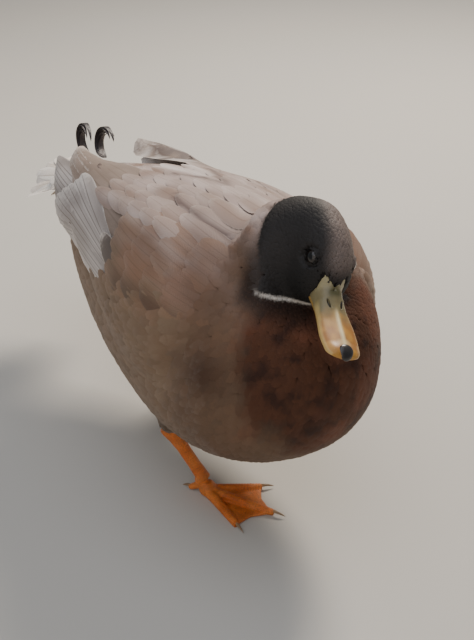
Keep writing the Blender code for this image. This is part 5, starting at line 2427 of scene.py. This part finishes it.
@dataclass
class Legs:
    """The bare legs: scaly shanks, webbed feet and claws, made over the solids that stand on the floor."""

    voxel: float = 0.0006
    swell: float = 0.00022
    ankle: float = 0.0040  # radius of the joint between shank and foot
    scute_mm: float = 1.9
    scute_height_mm: float = 0.26
    toes: tuple = ("inner", "middle", "outer", "hind")
    orange: str = "F08A3A"
    orange_deep: str = "E2762A"
    web_orange: str = "D8762E"
    groove_brown: str = "B85A1E"
    sole_brown: str = "B87442"
    claw_brown: str = "8A6E50"
    claw_root: str = "AD8658"
    claw_radius: float = 1.15 * MM
    claw_sunk: float = 2.2 * MM  # how far a claw's root lies inside the toe

    def build(self, skin: Material, horn: Material) -> None:
        """Makes both legs and their claws.

        Args:
            skin: The finish of shanks and feet.
            horn: The finish of the claws.
        """
        for side in ("right", "left"):
            place_piece(self._leg(side), skin, (f"shank_{side}", f"foot_{side}"))
            for toe in self.toes:
                place_piece(self._claw(toe, side), horn, (f"claw_{toe}_{side}",))

    @staticmethod
    def _node_points(name: str) -> Rows:
        """Reads a CAD node's points."""
        return points_of(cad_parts[name].data)

    def _joint(self, side: str) -> Rows:
        """Finds where a shank meets its foot."""
        spots = self._node_points(f"shank_{side}")
        return spots[spots[:, 2] < spots[:, 2].min() + 0.002].mean(0)

    def _leg(self, side: str) -> Mesh:
        """Joins shank and foot into one even mesh and raises their plates and wrinkles.

        Args:
            side: right or left.

        Returns:
            The mesh.
        """
        joined = joined_nodes((f"shank_{side}", f"foot_{side}"), self.swell)
        ankle = Matrix.Translation(Vector(self._joint(side)))
        bmesh.ops.create_uvsphere(joined, u_segments=16, v_segments=10, radius=self.ankle, matrix=ankle)
        even = evened(joined, self.voxel)
        even.name = f"leg_{side}"
        bm = bmesh.new()
        bm.from_mesh(even)
        relax(bm, bm.verts, 4)
        bm.normal_update()
        bm.to_mesh(even)
        bm.free()
        self._plated(even, side)
        even.shade_smooth()
        return even

    def _plated(self, mesh: Mesh, side: str) -> None:
        """Raises cross plates on shank and toes, wrinkles the webs and colours the leg.

        Args:
            mesh: The leg's mesh.
            side: right or left.
        """
        spots, normals = points_of(mesh), points_of(mesh, "normal")
        joint = self._joint(side)
        hock = self._node_points(f"shank_{side}")
        hock = hock[hock[:, 2] > hock[:, 2].max() - 0.002].mean(0)
        knuckle = np.array([joint[0], joint[1], 0.004])
        best = np.full(len(spots), FAR)
        phase = np.zeros(len(spots))
        lines = [(hock, joint, 5.4)]
        for toe in self.toes:
            tip = self._node_points(f"claw_{toe}_{side}").mean(0)
            lines.append((knuckle, np.array([tip[0], tip[1], 0.002]), 4.6))
        for start, end, reach in lines:
            way = end - start
            t = np.clip((spots - start) @ way / (way @ way), 0, 1)
            gap = np.linalg.norm(spots - start - t[:, None] * way, axis=1) / MM / reach
            along = t * np.linalg.norm(way) / MM
            phase = np.where(gap < best, along, phase)
            best = np.minimum(best, gap)
        bump = 1 - np.abs(np.mod(phase / self.scute_mm, 1.0) - 0.35) * 1.6
        plate = np.clip(bump, -0.2, 1) * self.scute_height_mm * smooth(1.0, 0.72, best)
        web = smooth(0.8, 1.1, best)
        crinkle = (NOISE(spots / MM + 11, 2.6) - 0.5) * 0.32 * web
        upward = smooth(-0.2, 0.5, normals[:, 2]) + smooth(0.012, 0.018, spots[:, 2])
        spots = spots + normals * ((plate + crinkle) * MM * np.clip(upward, 0, 1))[:, None]
        spots[:, 2] = np.maximum(spots[:, 2], 0.0)
        mesh.vertices.foreach_set("co", spots.reshape(-1).astype(np.float32))
        mesh.update()
        colour = layered(
            self.orange,
            (self.orange_deep, smooth(0.4, 0.8, NOISE(spots / MM + 70, 6.0))),
            (self.web_orange, 0.6 * web),
            (self.groove_brown, 0.7 * (smooth(0.25, -0.1, bump) * smooth(1.0, 0.7, best))),
            (self.sole_brown, 0.5 * smooth(0.0022, 0.0008, spots[:, 2])),
        )
        write_attributes(mesh, tint=with_fringe(colour))

    def _claw(self, toe: str, side: str) -> Mesh:
        """Lays out a curved claw over its solid.

        Args:
            toe: The toe's name.
            side: right or left.

        Returns:
            The mesh.
        """
        spots = self._node_points(f"claw_{toe}_{side}")
        joint = self._joint(side)
        away = np.linalg.norm((spots - joint)[:, :2], axis=1)
        root, tip = spots[away < away.min() + 0.0008].mean(0), spots[np.argmax(away)]
        size = np.linalg.norm(tip - root)
        way = unit(tip - root)
        aside = unit(np.cross(way, [0.0, 0.0, 1.0]))
        lift = np.cross(aside, way)
        lens = Lens(14, 14)
        along = lens.along
        radius = self.claw_radius * np.sqrt(np.clip(along * 14, 0, 1)) * (1 - along**1.6) ** 0.8 + 0.02 * MM
        middle = root - way * self.claw_sunk + way * ((size + self.claw_sunk) * along)[:, None]
        middle = middle + lift * (0.00075 * np.sin(np.pi * along**0.8))[:, None]
        spots = middle + aside * (lens.across * radius * 0.85)[:, None] + lift * (lens.rise * radius)[:, None]
        mesh = mesh_from_lens(f"claw_{toe}_tip_{side}", lens, spots)
        colour = layered(self.claw_brown, (self.claw_root, smooth(0.4, 0.0, along)))
        grain = np.stack([lens.across * 3, along * 7, lens.rise], 1)
        write_attributes(mesh, tint=with_fringe(colour), barb=grain)
        return mesh


# --------------------------------------------------------------------
# Studio
# --------------------------------------------------------------------


@dataclass
class Studio:
    """Camera, soft lights and a plain pale floor."""

    target: tuple = (0.013127, -0.04614, 0.104333)
    azimuth: float = math.radians(-31)
    elevation: float = math.radians(30.5)
    roll: float = math.radians(0.3)
    distance: float = 0.656
    lens_mm: float = 38.06
    room: str = "D9DDE2"
    room_strength: float = 0.32
    # Each light's name, place, side in metres, power in watts and colour.
    lights: tuple = (
        ("key", (0.85, 0.50, 1.20), 0.4, 26.0, "FFF4E6"),
        ("sky", (-0.35, -0.25, 1.5), 1.6, 10.0, "EEF3FF"),
        ("front_fill", (-0.9, -0.8, 0.65), 1.2, 3.4, "FFF8F0"),
    )

    def build(self) -> None:
        """Makes the studio."""
        self._camera()
        self._floor()
        for light in self.lights:
            self._light(*light)
        world = bpy.data.worlds.new("soft_room")
        world.use_nodes = True
        background = world.node_tree.nodes["Background"]
        background.inputs["Color"].default_value = rgba(self.room)
        background.inputs["Strength"].default_value = self.room_strength
        bpy.context.scene.world = world

    def _camera(self) -> None:
        """Sets the camera on the line from its target."""
        level = math.cos(self.elevation)
        x, y = math.sin(self.azimuth) * level, -math.cos(self.azimuth) * level
        back = Vector((x, y, math.sin(self.elevation)))
        data = bpy.data.cameras.new("camera")
        data.sensor_fit = "VERTICAL"
        data.sensor_height = 24.0
        data.lens = self.lens_mm
        data.clip_start = 0.01
        camera = bpy.data.objects.new("camera", data)
        turn = back.to_track_quat("Z", "Y").to_matrix().to_4x4() @ Matrix.Rotation(self.roll, 4, "Z")
        camera.matrix_world = Matrix.Translation(Vector(self.target) + back * self.distance) @ turn
        bpy.context.scene.collection.objects.link(camera)
        bpy.context.scene.camera = camera

    @staticmethod
    def _floor() -> None:
        """Makes the floor, which isn't part of the duck."""
        bm = bmesh.new()
        bmesh.ops.create_grid(bm, x_segments=8, y_segments=8, size=4.0)
        mesh = bpy.data.meshes.new("studio_floor")
        bm.to_mesh(mesh)
        bm.free()
        floor = bpy.data.objects.new("studio_floor", mesh)
        bpy.context.scene.collection.objects.link(floor)
        mesh.materials.append(PaintedFloor().build())

    @staticmethod
    def _light(name: str, place: tuple, size: float, power: float, colour: str) -> None:
        """Adds a square area light that faces the duck.

        Args:
            name: The light's name.
            place: Its middle.
            size: Its side.
            power: Its power in watts.
            colour: Its hex colour.
        """
        data = bpy.data.lights.new(name, "AREA")
        data.size = size
        data.energy = power
        data.color = rgba(colour)[:3]
        light = bpy.data.objects.new(name, data)
        light.location = place
        light.rotation_euler = (Vector(place) - Vector((0, -0.03, 0.11))).to_track_quat("Z", "Y").to_euler()
        bpy.context.scene.collection.objects.link(light)


def coat_finishes() -> dict:
    """Gives each tract's finish and material slot.

    Returns:
        Pairs by tract.
    """
    head = Plumage(
        "head_feathers_dark", roughness=0.62, sheen=0.12, sheen_tint="8F8D84", specular=0.3,
        fringe="4A4541", fringe_from=0.8, bump=0.15, barb_share=0.08,
    )
    body = Plumage("body_feathers", specular=0.28, barb_share=0.09, bump=0.2)
    breast = Plumage(
        "breast_feathers", sheen=0.08, specular=0.22, fringe="6E5040", fringe_from=0.78,
        barb_share=0.08, bump=0.2,
    )
    return {
        Tract.HEAD: (head, "head_feathers"),
        Tract.NECK: (breast, "breast_feathers"),
        Tract.BREAST: (breast, "breast_feathers"),
        Tract.BACK: (body, "flank_feathers"),
        Tract.FLANK_RIGHT: (body, "flank_feathers"),
        Tract.FLANK_LEFT: (body, "flank_feathers"),
        Tract.BELLY: (body, "flank_feathers"),
        Tract.RUMP: (body, "rump_feathers"),
    }


def main() -> None:
    """Builds the duck: its skin first, then its coat, the wings' long feathers, the tail, the bill, the eyes,
    the legs and the studio.
    """
    logging.basicConfig(level=logging.INFO, format="%(name)s: %(message)s")
    head, lean, edge = HeadFrame(), Lean(), BillEdge()
    eyes = Eyes(head)
    markings = Markings(head, lean)
    skin = Skin(CoatMeasures(markings), eyes)
    skin.build()
    mantle = Mantle(lean)
    built = {}
    finishes = {}
    for tract, (plumage, slot) in coat_finishes().items():
        if plumage.name not in built:
            built[plumage.name] = plumage.build()
        finishes[tract] = (built[plumage.name], slot)
    Coat(skin, Lie(skin.mesh, head), edge).build(finishes)
    quill = Plumage(
        "flight_quills", roughness=0.5, sheen=0.15, specular=0.4, fringe="DDD5CD", fringe_from=0.8,
        shaft="6B5F55", shaft_share=0.7, barb_mm=1.3, barb_share=0.10,
    )
    covert = Plumage(
        "covert_vanes", roughness=0.6, sheen=0.2, fringe="D9CEC4", fringe_from=0.84,
        shaft="5A4636", shaft_share=0.28, barb_mm=1.1, barb_share=0.06, bump=0.2,
    )
    LongFeathers(mantle, markings).build(quill.build(), covert.build())
    curl = Plumage(
        "curled_tail_feathers", roughness=0.42, sheen=0.2, sheen_tint="9A948C", specular=0.5,
        fringe="57504E", fringe_from=0.85, barb_share=0.12,
    ).build()
    tail = Plumage(
        "tail_feathers", roughness=0.6, sheen=0.2, fringe="EFE7DD", fringe_from=0.8,
        shaft="B7A896", shaft_share=0.6, barb_mm=1.3, barb_share=0.10,
    ).build()
    Tail(lean).build(tail, curl)
    horn = Horn("bill_horn_waxy", roughness=0.44, coat=0.16).build()
    dark_horn = Horn("nail_horn_polished", roughness=0.30, coat=0.3, streak_share=0.2).build()
    Bill(head, edge).build(horn, dark_horn)
    Eyeballs(eyes).build(WetEye().build())
    Legs().build(ScalySkin().build(), dark_horn)
    Studio().build()


if __name__ == "__main__":
    main()
